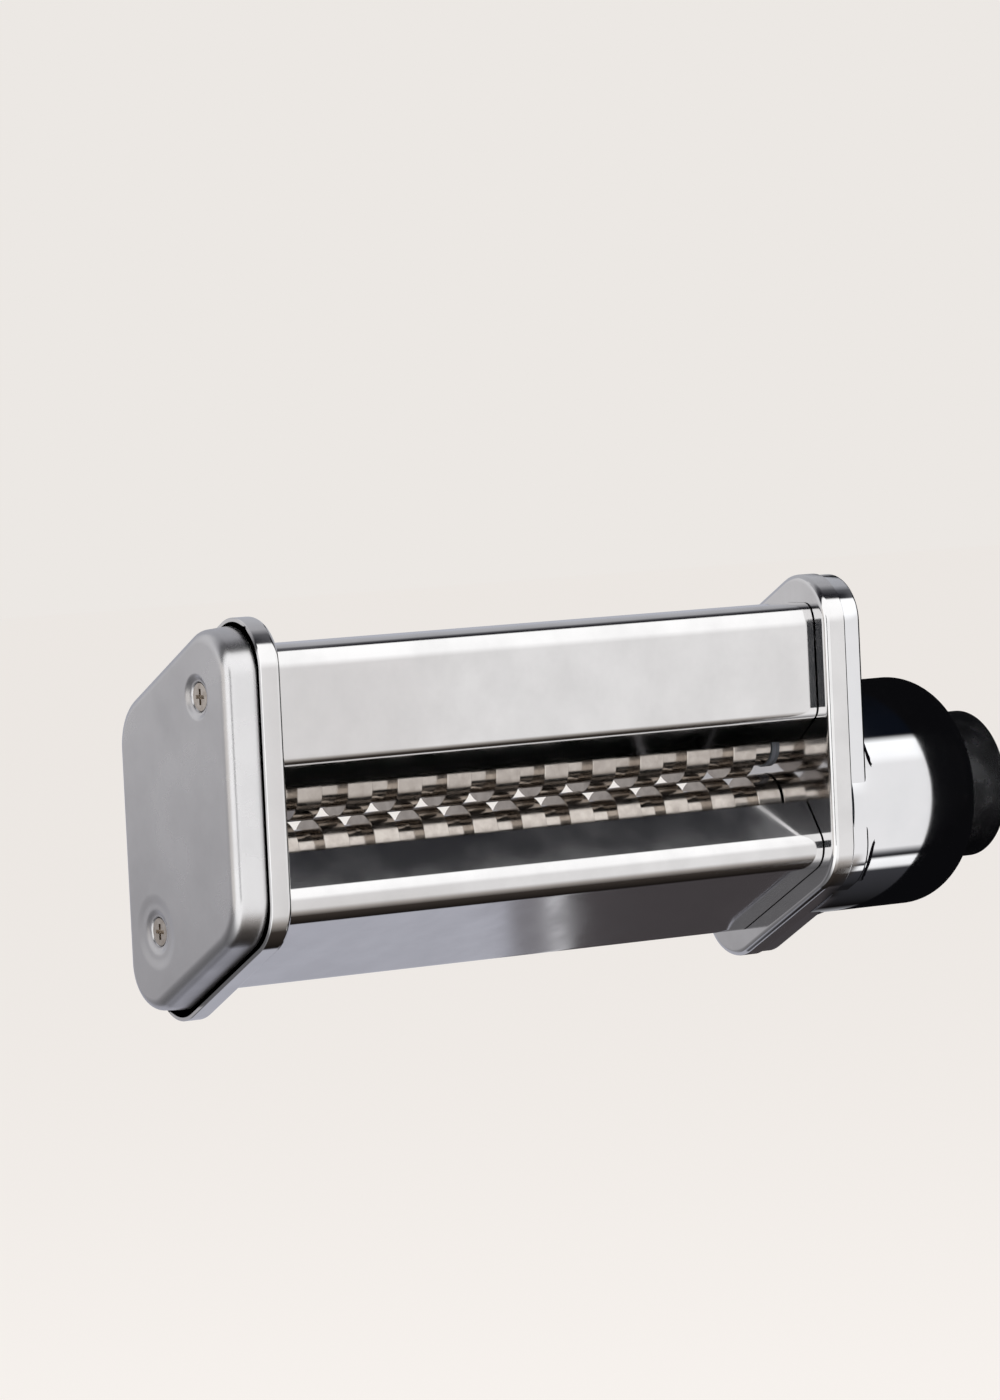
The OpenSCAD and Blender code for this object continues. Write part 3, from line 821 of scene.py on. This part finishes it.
@dataclass
class Covers:
    """The upper and lower cover: one bent sheet, used twice, the second turned half a turn about X."""

    layout: Layout
    shelf: FinishShelf
    sheet_mm: float = 0.9
    gap_mm: float = 0.3
    reach_mm: float = 24.1
    top_mm: float = 38.8
    lip_mm: float = 7.0
    bend_y_mm: float = -12.6
    middle_y_mm: float = -1.45
    tie_y_mm: float = -6.0
    tie_z_mm: float = 31.0
    tab_mm: float = 1.0
    tab_half_mm: float = 7.0
    tab_below_mm: float = 5.0
    tab_slope_deg: float = 27.8
    tie_hole_mm: float = 2.55
    tie_hole_steps: int = 32

    def build(self) -> None:
        """Builds both covers."""
        self._cover("upper_cover", 1)
        self._cover("lower_cover", -1)

    def _path(self) -> list[Point]:
        """Lists the outer path of the bent sheet from the front lip over the top to the back lip.

        Returns:
            Points as Y, Z and bend radius in mm.
        """
        return [
            (-16.4, self.lip_mm, 0.0), (-self.reach_mm, 13.3, 3.5),
            (-self.reach_mm, self.top_mm - 3.5, 9.0), (1.63 - self.reach_mm, self.top_mm, 2.9),
            (self.bend_y_mm, self.top_mm, 6.0), (23.8, 19.6, 5.8),
            (2 * self.middle_y_mm + 18.2, self.lip_mm, 0.0),
        ]

    def _bent_edge(self, bm: Mesh, side: int, x: float, inward_mm: float) -> Edges:
        """Draws the sheet's cross-section line.

        Args:
            bm: The mesh being built.
            side: +1 for the upper cover, -1 for the lower.
            x: The plane of the line.
            inward_mm: How far inside the outer skin the line runs.

        Returns:
            The line's edges.
        """
        path = self._path()
        spots = [Vector((y, z)) for y, z, _ in path]
        ways = [(high - low).normalized() for low, high in zip(spots, spots[1:])]
        before = len(bm.edges)
        previous = None
        for i, (here, (_, _, radius)) in enumerate(zip(spots, path)):
            into, out = ways[max(i - 1, 0)], ways[min(i, len(ways) - 1)]
            normal = Vector((into.y, -into.x))
            if radius:
                turn = into.angle(out)
                start = here - into * radius * math.tan(turn / 2)
                first, centre = (self._spot(start + normal * r, side, x) for r in (inward_mm, radius))
                vert, last = arc(bm, first, centre, -turn, BEND_STEPS)
            else:
                vert = last = bm.verts.new(self._spot(here + normal * inward_mm, side, x))
            if previous is not None:
                bm.edges.new((previous, vert))
            previous = last
        bm.edges.ensure_lookup_table()
        return list(bm.edges)[before:]

    def _spot(self, point: Vector, side: int, x: float) -> Point:
        """Returns a path point's place, turned half a turn for the lower cover."""
        middle = self.middle_y_mm
        return (x, *self.layout.across(middle + side * (point.x - middle), side * point.y))

    def _cover(self, node: str, side: int) -> None:
        """Builds one cover.

        Args:
            node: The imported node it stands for.
            side: +1 for the upper cover, -1 for the lower.
        """
        bm = bmesh.new()
        low_x, high_x = self.layout.x(self.gap_mm), self.layout.right(-self.gap_mm)
        outer, inner = (
            [self._bent_edge(bm, side, x, inward) for x in (low_x, high_x)]
            for inward in (0.0, self.sheet_mm)
        )
        for pair in (outer, inner, *zip(outer, inner)):
            loft(bm, list(pair))
        rim = [edge for edge in bm.edges if len(edge.link_faces) == 1]
        bmesh.ops.holes_fill(bm, edges=rim, sides=4)
        for x in (low_x, high_x - self.tab_mm * MM):
            self._tab(bm, side, x)
        self.shelf.keep(bm, node, "sheet", POLISHED_SHEET, "polished_steel")

    def _tab(self, bm: Mesh, side: int, x: float) -> None:
        """Adds the end tab that hangs a cover on its tie rod.

        Args:
            bm: The mesh being built.
            side: +1 for the upper cover, -1 for the lower.
            x: The tab's low plane.
        """
        y0, y1 = self.tie_y_mm - self.tab_half_mm, self.tie_y_mm + self.tab_half_mm
        z0, z1 = self.tie_z_mm - self.tab_below_mm, self.top_mm - self.sheet_mm / 2
        fall = math.tan(math.radians(self.tab_slope_deg)) * (y1 - self.bend_y_mm)
        shape = [(y0, z0), (y1, z0), (y1, z1 - fall), (self.bend_y_mm, z1), (y0, z1)]
        edges = chain(bm, [bm.verts.new(self._spot(Vector(p), side, x)) for p in shape])
        spot = self._spot(Vector((self.tie_y_mm, self.tie_z_mm)), side, x)[1:]
        hole = ring_loop(bm, spot, self.tie_hole_mm * MM, x, self.tie_hole_steps)
        before = set(bm.faces)
        flat_fill(bm, [edges, hole], (1, 0, 0))
        made = [f for f in bm.faces if f not in before]
        pushed = bmesh.ops.extrude_face_region(bm, geom=made, use_keep_orig=True)
        top = [g for g in pushed["geom"] if isinstance(g, Vert)]
        bmesh.ops.translate(bm, verts=top, vec=(self.tab_mm * MM, 0, 0))


@dataclass
class CuttingRollers:
    """The two meshing rollers with their gears, clips, bushings, combs and rods."""

    layout: Layout
    shelf: FinishShelf
    strand_mm: float = 6.5
    count: int = 11
    ring_mm: float = 7.0
    core_mm: float = 4.6
    journal_mm: float = 3.0
    journal_break_mm: float = 0.4
    gear_seat_mm: float = 2.5
    gear_seat_break_mm: float = 0.3
    shoulder_mm: float = -2.2
    left_end_mm: float = -9.9
    recess_mm: float = 5.4
    clearance_mm: float = 0.05
    ring_break_mm: float = 0.12
    end_gap_mm: float = 1.2
    right_play_mm: float = 0.35
    lower_reach_mm: float = 14.0
    upper_reach_mm: float = 2.4

    def build(self) -> None:
        """Builds both rollers and dresses what belongs to them."""
        self._roller("lower", self.layout.lower_axis, 1, self.lower_reach_mm)
        self._roller("upper", self.layout.upper_axis, 0, self.upper_reach_mm)
        self.shelf.dress(SINTERED_GEAR, "lower_gear", "upper_gear")
        self.shelf.dress(BLACK_OXIDE, "lower_gear_clip", "upper_gear_clip", "comb_rod_clips")
        self.shelf.dress(ACETAL, "upper_comb", "lower_comb")
        self.shelf.dress(ZINC_PLATE, "comb_rods", "tie_rods", "tie_rod_screws")
        self.shelf.dress(NYLON, "roller_bushings")

    def _profile(self, first: int, right_end: float) -> list[Spot]:
        """Lists a roller's turned profile from its left end to its right end.

        Args:
            first: 0 if the leftmost place is a ring, 1 if it is a groove.
            right_end: X of the right end in mm from the left plate.

        Returns:
            Points as X and radius in mm.
        """
        length, left, seat = self.layout.length_mm, self.left_end_mm, self.gear_seat_mm
        start = length - 2 * self.count * self.strand_mm - self.right_play_mm
        left_stop, right_stop = self.end_gap_mm, length - self.end_gap_mm
        ring, cut = self.ring_mm, self.ring_break_mm
        seat_break, end_break = self.gear_seat_break_mm, self.journal_break_mm
        points = [
            (left, 0.0), (left, seat - seat_break), (left + seat_break, seat), (self.shoulder_mm, seat),
            (self.shoulder_mm, self.journal_mm), (left_stop, self.journal_mm),
        ]
        for k in range(self.count):
            from_x = start + (first + 2 * k) * self.strand_mm
            low, high = from_x + self.clearance_mm, from_x + self.strand_mm - self.clearance_mm
            before = self.recess_mm if low < left_stop else self.core_mm
            after = self.recess_mm if high > right_stop else self.core_mm
            if k == 0:
                points.append((left_stop, before))
            points += [(low, before), (low, ring - cut), (low + cut, ring)]
            points += [(high - cut, ring), (high, ring - cut), (high, after)]
        return points + [
            (right_stop, after), (right_stop, self.journal_mm), (right_end - end_break, self.journal_mm),
            (right_end, self.journal_mm - end_break), (right_end, 0.0),
        ]

    def _roller(self, which: str, axis: Vector, first: int, reach_mm: float) -> None:
        """Builds one roller.

        Args:
            which: "lower" or "upper".
            axis: A point on its axis.
            first: 0 if the leftmost place is a ring, 1 if it is a groove.
            reach_mm: How far its right end stands out of the right plate.
        """
        bm = bmesh.new()
        profile = self._profile(first, self.layout.length_mm + reach_mm)
        lathe(bm, [(self.layout.x(x), radius * MM) for x, radius in profile], axis, closed=False)
        self.shelf.keep(
            bm, f"{which}_cutting_roller", "turned", TURNED_ROLLER, "roller_steel", f"{which}_roller",
        )


@dataclass
class Hub:
    """The chromed casting with its round boss, and the drive that runs through it."""

    layout: Layout
    outline: LeaningOutline
    shelf: FinishShelf
    base_mm: float = 1.0
    height_mm: float = 10.2
    edge_mm: float = 0.8
    edge_steps: int = 10
    break_mm: float = 0.15
    inset_mm: float = 0.4
    nest_inset_mm: float = 2.9
    pocket_inset_mm: float = 4.6
    skin_mm: float = 3.0
    seam_mm: float = 5.6
    boss_mm: float = 26.8
    boss_edge_mm: float = 9.0
    boss_edge_steps: int = 18
    boss_root_mm: float = 0.3
    boss_floor_mm: float = 8.0
    blend_mm: float = 2.4
    blend_steps: int = 12
    blend_lap_mm: float = 0.1
    blend_foot_mm: float = 0.6
    wall_mm: float = 4.5
    fit_mm: float = 0.05
    bore_mm: float = 10.53

    def build(self) -> None:
        """Builds the casting and dresses the drive pieces."""
        bm = bmesh.new()
        self._flange(bm)
        self._blend(bm)
        self._boss(bm)
        self.shelf.keep(bm, "hub_housing", "casting", CHROMED_CASTING, "chromed_casting")
        self.shelf.dress(TURNED_SHAFT, "hub_collar", "locating_pin", "drive_shaft")
        self.shelf.dress(BLACK_OXIDE, "collar_screws", "drive_pin")
        self.shelf.dress(ZINC_PLATE, "housing_screws")
        self.shelf.dress(SINTERED_BRONZE, "hub_bushing")
        self.shelf.dress(NITRILE, "shaft_seal")

    def _flange(self, bm: Mesh) -> None:
        """Adds the casting's plate, which nests in the right side plate.

        Args:
            bm: The mesh being built.
        """
        corners = self.outline.corners(self.layout)
        base_x, seam_x, face_x = (
            self.layout.right(mm) for mm in (self.base_mm, self.seam_mm, self.height_mm)
        )
        floor_x = face_x - self.skin_mm * MM
        pairs = [(self.nest_inset_mm, base_x), (self.nest_inset_mm, seam_x)]
        pairs += [(self.inset_mm + self.break_mm, seam_x), (self.inset_mm, seam_x + self.break_mm * MM)]
        pairs += fold(self.inset_mm, face_x, self.edge_mm, 1, self.edge_steps)
        outer = [outline_loop(bm, corners, i, x) for i, x in pairs]
        pocket = [outline_loop(bm, corners, self.pocket_inset_mm, x) for x in (base_x, floor_x)]
        loft(bm, outer)
        loft(bm, [outer[0], pocket[0]])
        loft(bm, pocket)
        centre, radius = tuple(self.layout.lower_axis.yz), (self.boss_mm - self.wall_mm) * MM
        hole = [ring_loop(bm, centre, radius, x, TURN_STEPS) for x in (floor_x, face_x)]
        loft(bm, hole)
        flat_fill(bm, [pocket[1], hole[0]], (-1, 0, 0))
        flat_fill(bm, [outer[-1], hole[1]], (1, 0, 0))

    def _blend(self, bm: Mesh) -> None:
        """Adds the hollow blend between the casting's face and the boss, kept inside the face's flat.

        Args:
            bm: The mesh being built.
        """
        axis, corners = self.layout.lower_axis, self.outline.corners(self.layout)
        face, foot = self.layout.right(self.height_mm), self.blend_foot_mm * MM
        blend, boss, lap = self.blend_mm * MM, self.boss_mm * MM, self.blend_lap_mm * MM
        angles = [2 * math.pi * i / TURN_STEPS for i in range(TURN_STEPS)]
        limits = []
        for angle in angles:
            flat = ray_reach(corners, self.inset_mm + self.edge_mm, (axis.y, axis.z), angle)
            limits.append(min(max(flat, boss - 2 * lap), boss + blend))
        rings = []
        for share in (k / self.blend_steps for k in range(self.blend_steps + 1)):
            radii = [boss - lap + (limit - boss + lap) * share for limit in limits]
            outs = [min(max(boss + blend - radius, 0.0), blend) for radius in radii]
            falls = [blend - math.sqrt(blend ** 2 - out ** 2) for out in outs]
            rings.append([(face + fall, radius) for fall, radius in zip(falls, radii)])
        rings += [[(face - foot, limit) for limit in limits], [(face - foot, boss - foot)] * TURN_STEPS]
        loops = []
        for ring in rings:
            loops.append(chain(bm, [
                bm.verts.new((x, axis.y + r * math.cos(a), axis.z + r * math.sin(a)))
                for a, (x, r) in zip(angles, ring)
            ]))
        loft(bm, loops + loops[:1])

    def _boss(self, bm: Mesh) -> None:
        """Adds the round boss with its rounded outer edge, whose end face lies at X = 0.

        Args:
            bm: The mesh being built.
        """
        start, floor = self.layout.right(self.seam_mm + self.boss_root_mm), -self.boss_floor_mm * MM
        boss, bore = self.boss_mm * MM, self.bore_mm * MM
        inner = (self.boss_mm - self.wall_mm - self.fit_mm) * MM
        rim = [(start, inner), (start, boss)]
        for inset_mm, x in fold(0.0, 0.0, self.boss_edge_mm, 1, self.boss_edge_steps):
            rim.append((x, (self.boss_mm - inset_mm) * MM))
        rim += [(0.0, bore), (floor, bore), (floor, inner)]
        lathe(bm, rim, self.layout.lower_axis, closed=True)


# --- Camera and studio ---


@dataclass(frozen=True)
class ViewPoint:
    """The camera: a long lens from the front left, just above the part."""

    place_mm: Point = (-817.97, -1104.03, 112.33)
    yaw_deg: float = 32.41
    fall_deg: float = 3.63
    roll_deg: float = -2.69
    lens_mm: float = 149.04
    sensor_mm: float = 36.0
    far_m: float = 20.0

    def build(self) -> None:
        """Makes the camera and sets it as the scene's."""
        yaw, fall, roll = (math.radians(a) for a in (self.yaw_deg, self.fall_deg, self.roll_deg))
        ahead = Vector((
            math.sin(yaw) * math.cos(fall), math.cos(yaw) * math.cos(fall), -math.sin(fall),
        ))
        level = Vector((math.cos(yaw), -math.sin(yaw), 0.0))
        up = level.cross(ahead)
        right = level * math.cos(roll) + up * math.sin(roll)
        top = -level * math.sin(roll) + up * math.cos(roll)
        data = bpy.data.cameras.new("view")
        data.lens = self.lens_mm
        data.sensor_width = self.sensor_mm
        data.clip_end = self.far_m
        camera = bpy.data.objects.new("view", data)
        turn = Matrix((right, top, -ahead)).transposed().to_4x4()
        camera.matrix_world = Matrix.Translation(Vector(self.place_mm) * MM) @ turn
        bpy.context.scene.collection.objects.link(camera)
        bpy.context.scene.camera = camera


@dataclass(frozen=True)
class Tone:
    """One stop of the tent's shading: an angle round the X axis, a colour and how bright it is.

    0 degrees is level behind the part, 90 overhead, 180 level in front of it and 270 straight below.
    """

    angle_deg: float
    colour: str
    level: float = 1.0


@dataclass(frozen=True)
class Zone:
    """A length of the tent with its own shading, from one X onwards, its tones in order of angle."""

    from_x_mm: float
    soft_mm: float
    tones: tuple[Tone, ...]


@dataclass(frozen=True)
class Softbox:
    """A large soft lamp."""

    name: str
    place_mm: Point
    width_mm: float
    height_mm: float
    watts: float


@dataclass(frozen=True)
class Card:
    """A flat card that shows only in reflections, facing the part."""

    name: str
    place_mm: Point
    width_mm: float
    height_mm: float
    colour: str
    round: bool = False


def retoned(
    tones: tuple[Tone, ...], low_deg: float, high_deg: float, colour: str, level: float = 1.0
) -> tuple[Tone, ...]:
    """Returns tones with those between two angles changed to one colour."""
    return tuple(
        Tone(t.angle_deg, colour, level) if low_deg <= t.angle_deg <= high_deg else t for t in tones
    )


NAVY, BLACK, WHITE = "#0c1018", "#0b0a0a", "#ffffff"

# Over the covers: haze behind, a dark gap overhead, a lamp high in front, pale paper in front, and the
# dark table edge below it.
COVER_TONES = (
    Tone(0, "#b4b6c0"), Tone(50, "#bcbdc2"), Tone(85, "#b0b0b4"), Tone(100, "#5c5c60"),
    Tone(112, "#26262a"), Tone(121, "#26262a"), Tone(125, WHITE, 1.3), Tone(162, WHITE, 1.25),
    Tone(177, "#eceaea"), Tone(212, "#e8e6e5"), Tone(228, "#a8a29d"), Tone(246, "#3c3632"),
    Tone(292, "#171412"), Tone(298, "#b4b5bf"), Tone(330, "#b4b5bf"), Tone(359, "#b4b6c0"),
)
# Beyond the left end: the same dark gap overhead, white all the way down the front, and grey below and
# behind.
LEFT_TONES = (
    Tone(0, "#cecdcf"), Tone(50, "#e4e4e6"), Tone(85, "#b0b0b4"), Tone(100, "#4a4a4e"),
    Tone(112, "#26262a"), Tone(121, "#26262a"), Tone(125, WHITE, 1.3), Tone(235, WHITE, 1.25),
    Tone(262, "#8a8a8c"), Tone(300, "#656567"), Tone(332, "#8a898c"), Tone(352, "#b2b1b4"),
    Tone(359, "#cccbcd"),
)
# From there to the rollers the paper in front is whiter, which the cap's satin wall blurs together.
WALL_TONES = retoned(COVER_TONES, 170, 215, WHITE, 1.1)
# Further to the right the paper is a little brighter, and the mixer's dark body, with a light line in
# it, shows low behind.
BRIGHT_TONES = retoned(COVER_TONES, 170, 215, "#f6f5f5")
MIDDLE_TONES = retoned(BRIGHT_TONES, 297, 360, "#7b797e")
LINE_TONES = retoned(BRIGHT_TONES, 297, 360, "#d0d0d4")
DARK_TONES = retoned(BRIGHT_TONES, 297, 360, "#474345")
# The rims of the side plates see a lighter room overhead.
RIM_TONES = retoned(COVER_TONES, 100, 121, "#6a6a6e")
DARK_RIM_TONES = retoned(DARK_TONES, 100, 121, "#6a6a6e")
# Round the hub the mixer hides all but the lamp, the paper in front and a light strip below it.
HUB_TONES = (
    Tone(0, "#a8a8ac"), Tone(20, "#a8a8ac"), Tone(36, BLACK), Tone(100, NAVY), Tone(118, NAVY),
    Tone(125, WHITE, 1.3), Tone(140, WHITE, 1.2), Tone(148, "#f6f5f5"), Tone(232, "#f6f5f5"),
    Tone(237, "#8a8a8c"), Tone(240, "#2b2b2e"), Tone(242, "#3a3a3c"), Tone(245, WHITE, 1.15),
    Tone(254, WHITE), Tone(258, "#3c3c40"), Tone(290, "#2c2c2f"), Tone(320, BLACK),
    Tone(340, "#a8a8ac"),
)


@dataclass
class Studio:
    """A pale sweep, soft lamps, and the shaded tent and cards that the polished metal reflects.

    The floor's paper is the only colour given in linear RGBA.
    """

    pale: str = "#ece8e4"
    sky_light: float = 0.75
    floor_light: float = 0.30
    floor_seen: float = 0.772
    floor_paper: tuple[float, float, float, float] = (0.30, 0.29, 0.285, 1.0)
    floor_mm: float = -250.0
    floor_size_mm: float = 12000.0
    tent_mm: float = 700.0
    tent_from_mm: float = -2400.0
    tent_to_mm: float = 2200.0
    tent_steps: int = 180
    round_card_steps: int = 96
    aim: Point = (-0.1, 0.0, 0.0)
    softboxes: tuple[Softbox, ...] = (
        Softbox("overhead_softbox", (-150.0, -250.0, 1100.0), 900.0, 700.0, 9.0),
        Softbox("front_left_softbox", (-1100.0, -900.0, 500.0), 700.0, 700.0, 6.0),
    )
    zones: tuple[Zone, ...] = (
        Zone(-2400.0, 1.0, LEFT_TONES), Zone(-350.0, 80.0, WALL_TONES), Zone(186.0, 4.0, RIM_TONES),
        Zone(207.0, 2.0, COVER_TONES), Zone(272.0, 8.0, BRIGHT_TONES), Zone(312.0, 1.5, MIDDLE_TONES),
        Zone(329.0, 1.0, LINE_TONES), Zone(337.0, 1.5, DARK_TONES), Zone(433.0, 2.0, DARK_RIM_TONES),
        Zone(450.0, 3.0, HUB_TONES), Zone(560.0, 20.0, BRIGHT_TONES),
    )
    cards: tuple[Card, ...] = (
        Card("camera_side_card", (-507.0, -672.0, 67.0), 215.0, 380.0, "#2f3135"),
        Card("mixer_card", (36.0, 0.0, 0.0), 196.0, 196.0, "#0c0c0e", True),
    )

    def build(self) -> None:
        """Builds the world, the floor, the lamps, the tent and the cards."""
        self._world()
        self._floor()
        for box in self.softboxes:
            self._softbox(box)
        self._tent()
        for card in self.cards:
            self._card(card)

    def _world(self) -> None:
        """Makes the pale surroundings, a little dimmer as a light than as a background."""
        world = bpy.data.worlds.new("pale_sweep")
        bpy.context.scene.world = world
        world.use_nodes = True
        tree = world.node_tree
        level = add_node(tree, "ShaderNodeMapRange", {
            "Value": self._seen(tree), "To Min": self.sky_light, "To Max": 1.0,
        })
        feed(tree, tree.nodes["Background"], {
            "Color": linear(self.pale), "Strength": level.outputs["Result"],
        })

    @staticmethod
    def _seen(tree: bpy.types.NodeTree) -> bpy.types.NodeSocket:
        """Adds nodes that tell a seen ray from a light ray.

        Args:
            tree: The node tree.

        Returns:
            A socket that gives 1 for a camera, glossy or transmission ray, and 0 for light.
        """
        path = add_node(tree, "ShaderNodeLightPath").outputs
        seen = path["Is Camera Ray"]
        for ray in ("Is Glossy Ray", "Is Transmission Ray"):
            both = add_node(tree, "ShaderNodeMath", {0: seen, 1: path[ray]}, operation="MAXIMUM")
            seen = both.outputs[0]
        return seen

    def _floor(self) -> None:
        """Makes the floor, which matches the surroundings and keeps the part's shadow."""
        material, tree = start_material("pale_paper", bare=True)
        glow = add_node(tree, "ShaderNodeMapRange", {
            "Value": self._seen(tree), "To Min": self.floor_light, "To Max": self.floor_seen,
        })
        lit = add_node(tree, "ShaderNodeEmission", {
            "Color": linear(self.pale), "Strength": glow.outputs["Result"],
        })
        paper = add_node(tree, "ShaderNodeBsdfDiffuse", {"Color": self.floor_paper})
        both = add_node(tree, "ShaderNodeAddShader", {0: lit.outputs[0], 1: paper.outputs[0]})
        feed(tree, tree.nodes["Material Output"], {"Surface": both.outputs[0]})
        bm = bmesh.new()
        bmesh.ops.create_grid(
            bm, x_segments=2, y_segments=2, size=self.floor_size_mm / 2 * MM,
            matrix=Matrix.Translation((0, 0, self.floor_mm * MM)),
        )
        self._stand(bm, "floor", material).visible_glossy = False

    def _softbox(self, box: Softbox) -> None:
        """Makes one lamp, turned towards the part.

        Args:
            box: The lamp's place, size and power.
        """
        data = bpy.data.lights.new(box.name, "AREA")
        data.shape = "RECTANGLE"
        data.size = box.width_mm * MM
        data.size_y = box.height_mm * MM
        data.energy = box.watts
        lamp = bpy.data.objects.new(box.name, data)
        lamp.matrix_world = self._facing(box.place_mm)
        lamp.visible_camera = False
        lamp.visible_glossy = False
        bpy.context.scene.collection.objects.link(lamp)

    def _facing(self, place_mm: Point) -> Matrix:
        """Works out the placing of a thing whose -Z side looks at the part.

        Args:
            place_mm: Where it stands.

        Returns:
            Its matrix.
        """
        place = Vector(place_mm) * MM
        turn = (Vector(self.aim) - place).to_track_quat("-Z", "Y").to_matrix().to_4x4()
        return Matrix.Translation(place) @ turn

    def _tent(self) -> None:
        """Makes the tent by spinning a straight edge round the part."""
        material, tree = start_material("shaded_tent", bare=True)
        place = add_node(tree, "ShaderNodeTexCoord")
        apart = add_node(tree, "ShaderNodeSeparateXYZ", {0: place.outputs["Object"]}).outputs
        angle = add_node(tree, "ShaderNodeMath", {0: apart["Z"], 1: apart["Y"]}, operation="ARCTAN2")
        turns = add_node(
            tree, "ShaderNodeMath", {0: angle.outputs[0], 1: 2 * math.pi}, operation="DIVIDE",
        )
        share = add_node(tree, "ShaderNodeMath", {0: turns.outputs[0]}, operation="FRACT")
        shade = None
        for zone in self.zones:
            ramp = add_node(tree, "ShaderNodeValToRGB", {0: share.outputs[0]})
            stops = ramp.color_ramp.elements
            while len(stops) < len(zone.tones):
                stops.new(1.0)
            for stop, tone in zip(stops, zone.tones):
                stop.position = tone.angle_deg / 360.0
            for stop, tone in zip(stops, zone.tones):
                stop.color = [c * tone.level for c in linear(tone.colour)[:3]] + [1.0]
            if shade is None:
                shade = ramp.outputs["Color"]
                continue
            along = add_node(tree, "ShaderNodeMapRange", {
                "Value": apart["X"], "From Min": (zone.from_x_mm - zone.soft_mm) * MM,
                "From Max": (zone.from_x_mm + zone.soft_mm) * MM,
            }, interpolation_type="SMOOTHSTEP")
            shade = add_node(tree, "ShaderNodeMix", {
                "Factor": along.outputs["Result"], "A": shade, "B": ramp.outputs["Color"],
            }, data_type="RGBA").outputs["Result"]
        bm = bmesh.new()
        ends = [
            bm.verts.new((x * MM, self.tent_mm * MM, 0.0)) for x in (self.tent_from_mm, self.tent_to_mm)
        ]
        bmesh.ops.spin(
            bm, geom=ends + chain(bm, ends, closed=False), cent=(0, 0, 0), axis=(1, 0, 0),
            angle=2 * math.pi, steps=self.tent_steps, use_merge=True,
        )
        self._reflection(bm, "tent", material, shade)

    def _card(self, card: Card) -> None:
        """Makes one flat card.

        Args:
            card: The card's place, size, shape and colour.
        """
        material, _ = start_material(f"{card.name}_paper", bare=True)
        bm = bmesh.new()
        size = Matrix.Diagonal((card.width_mm / 2 * MM, card.height_mm / 2 * MM, 1.0, 1.0))
        turn = self._facing(card.place_mm) @ size
        if card.round:
            steps = self.round_card_steps
            bmesh.ops.create_circle(bm, cap_ends=True, radius=1.0, segments=steps, matrix=turn)
        else:
            bmesh.ops.create_grid(bm, x_segments=2, y_segments=2, size=1.0, matrix=turn)
        self._reflection(bm, card.name, material, linear(card.colour))

    def _reflection(self, bm: Mesh, name: str, material: bpy.types.Material, colour: Any) -> None:
        """Makes a glowing stage object that shows in reflections only.

        Args:
            bm: Its mesh.
            name: Its name.
            material: Its bare material.
            colour: What it glows with: a linear colour or a socket of the material's tree.
        """
        tree = material.node_tree
        glow = add_node(tree, "ShaderNodeEmission", {"Color": colour, "Strength": 1.0})
        feed(tree, tree.nodes["Material Output"], {"Surface": glow.outputs[0]})
        thing = self._stand(bm, name, material)
        for ray in ("camera", "diffuse", "shadow", "transmission"):
            setattr(thing, f"visible_{ray}", False)

    @staticmethod
    def _stand(bm: Mesh, name: str, material: bpy.types.Material) -> bpy.types.Object:
        """Turns a bmesh into a stage object.

        Args:
            bm: Its mesh.
            name: Its name.
            material: Its material.

        Returns:
            The stage object.
        """
        mesh = bpy.data.meshes.new(name)
        bm.to_mesh(mesh)
        bm.free()
        thing = bpy.data.objects.new(name, mesh)
        mesh.materials.append(material)
        bpy.context.scene.collection.objects.link(thing)
        return thing


def main() -> None:
    """Builds the camera, the studio and every piece."""
    bpy.context.scene.view_settings.view_transform = "Standard"
    layout = Layout.from_frame()
    shelf = FinishShelf()
    ViewPoint().build()
    Studio().build()
    SidePlates(layout, PLATE_OUTLINE, shelf).build()
    EndCap(layout, CAP_OUTLINE, shelf).build()
    Covers(layout, shelf).build()
    CuttingRollers(layout, shelf).build()
    Hub(layout, PLATE_OUTLINE, shelf).build()


if __name__ == "__main__":
    main()
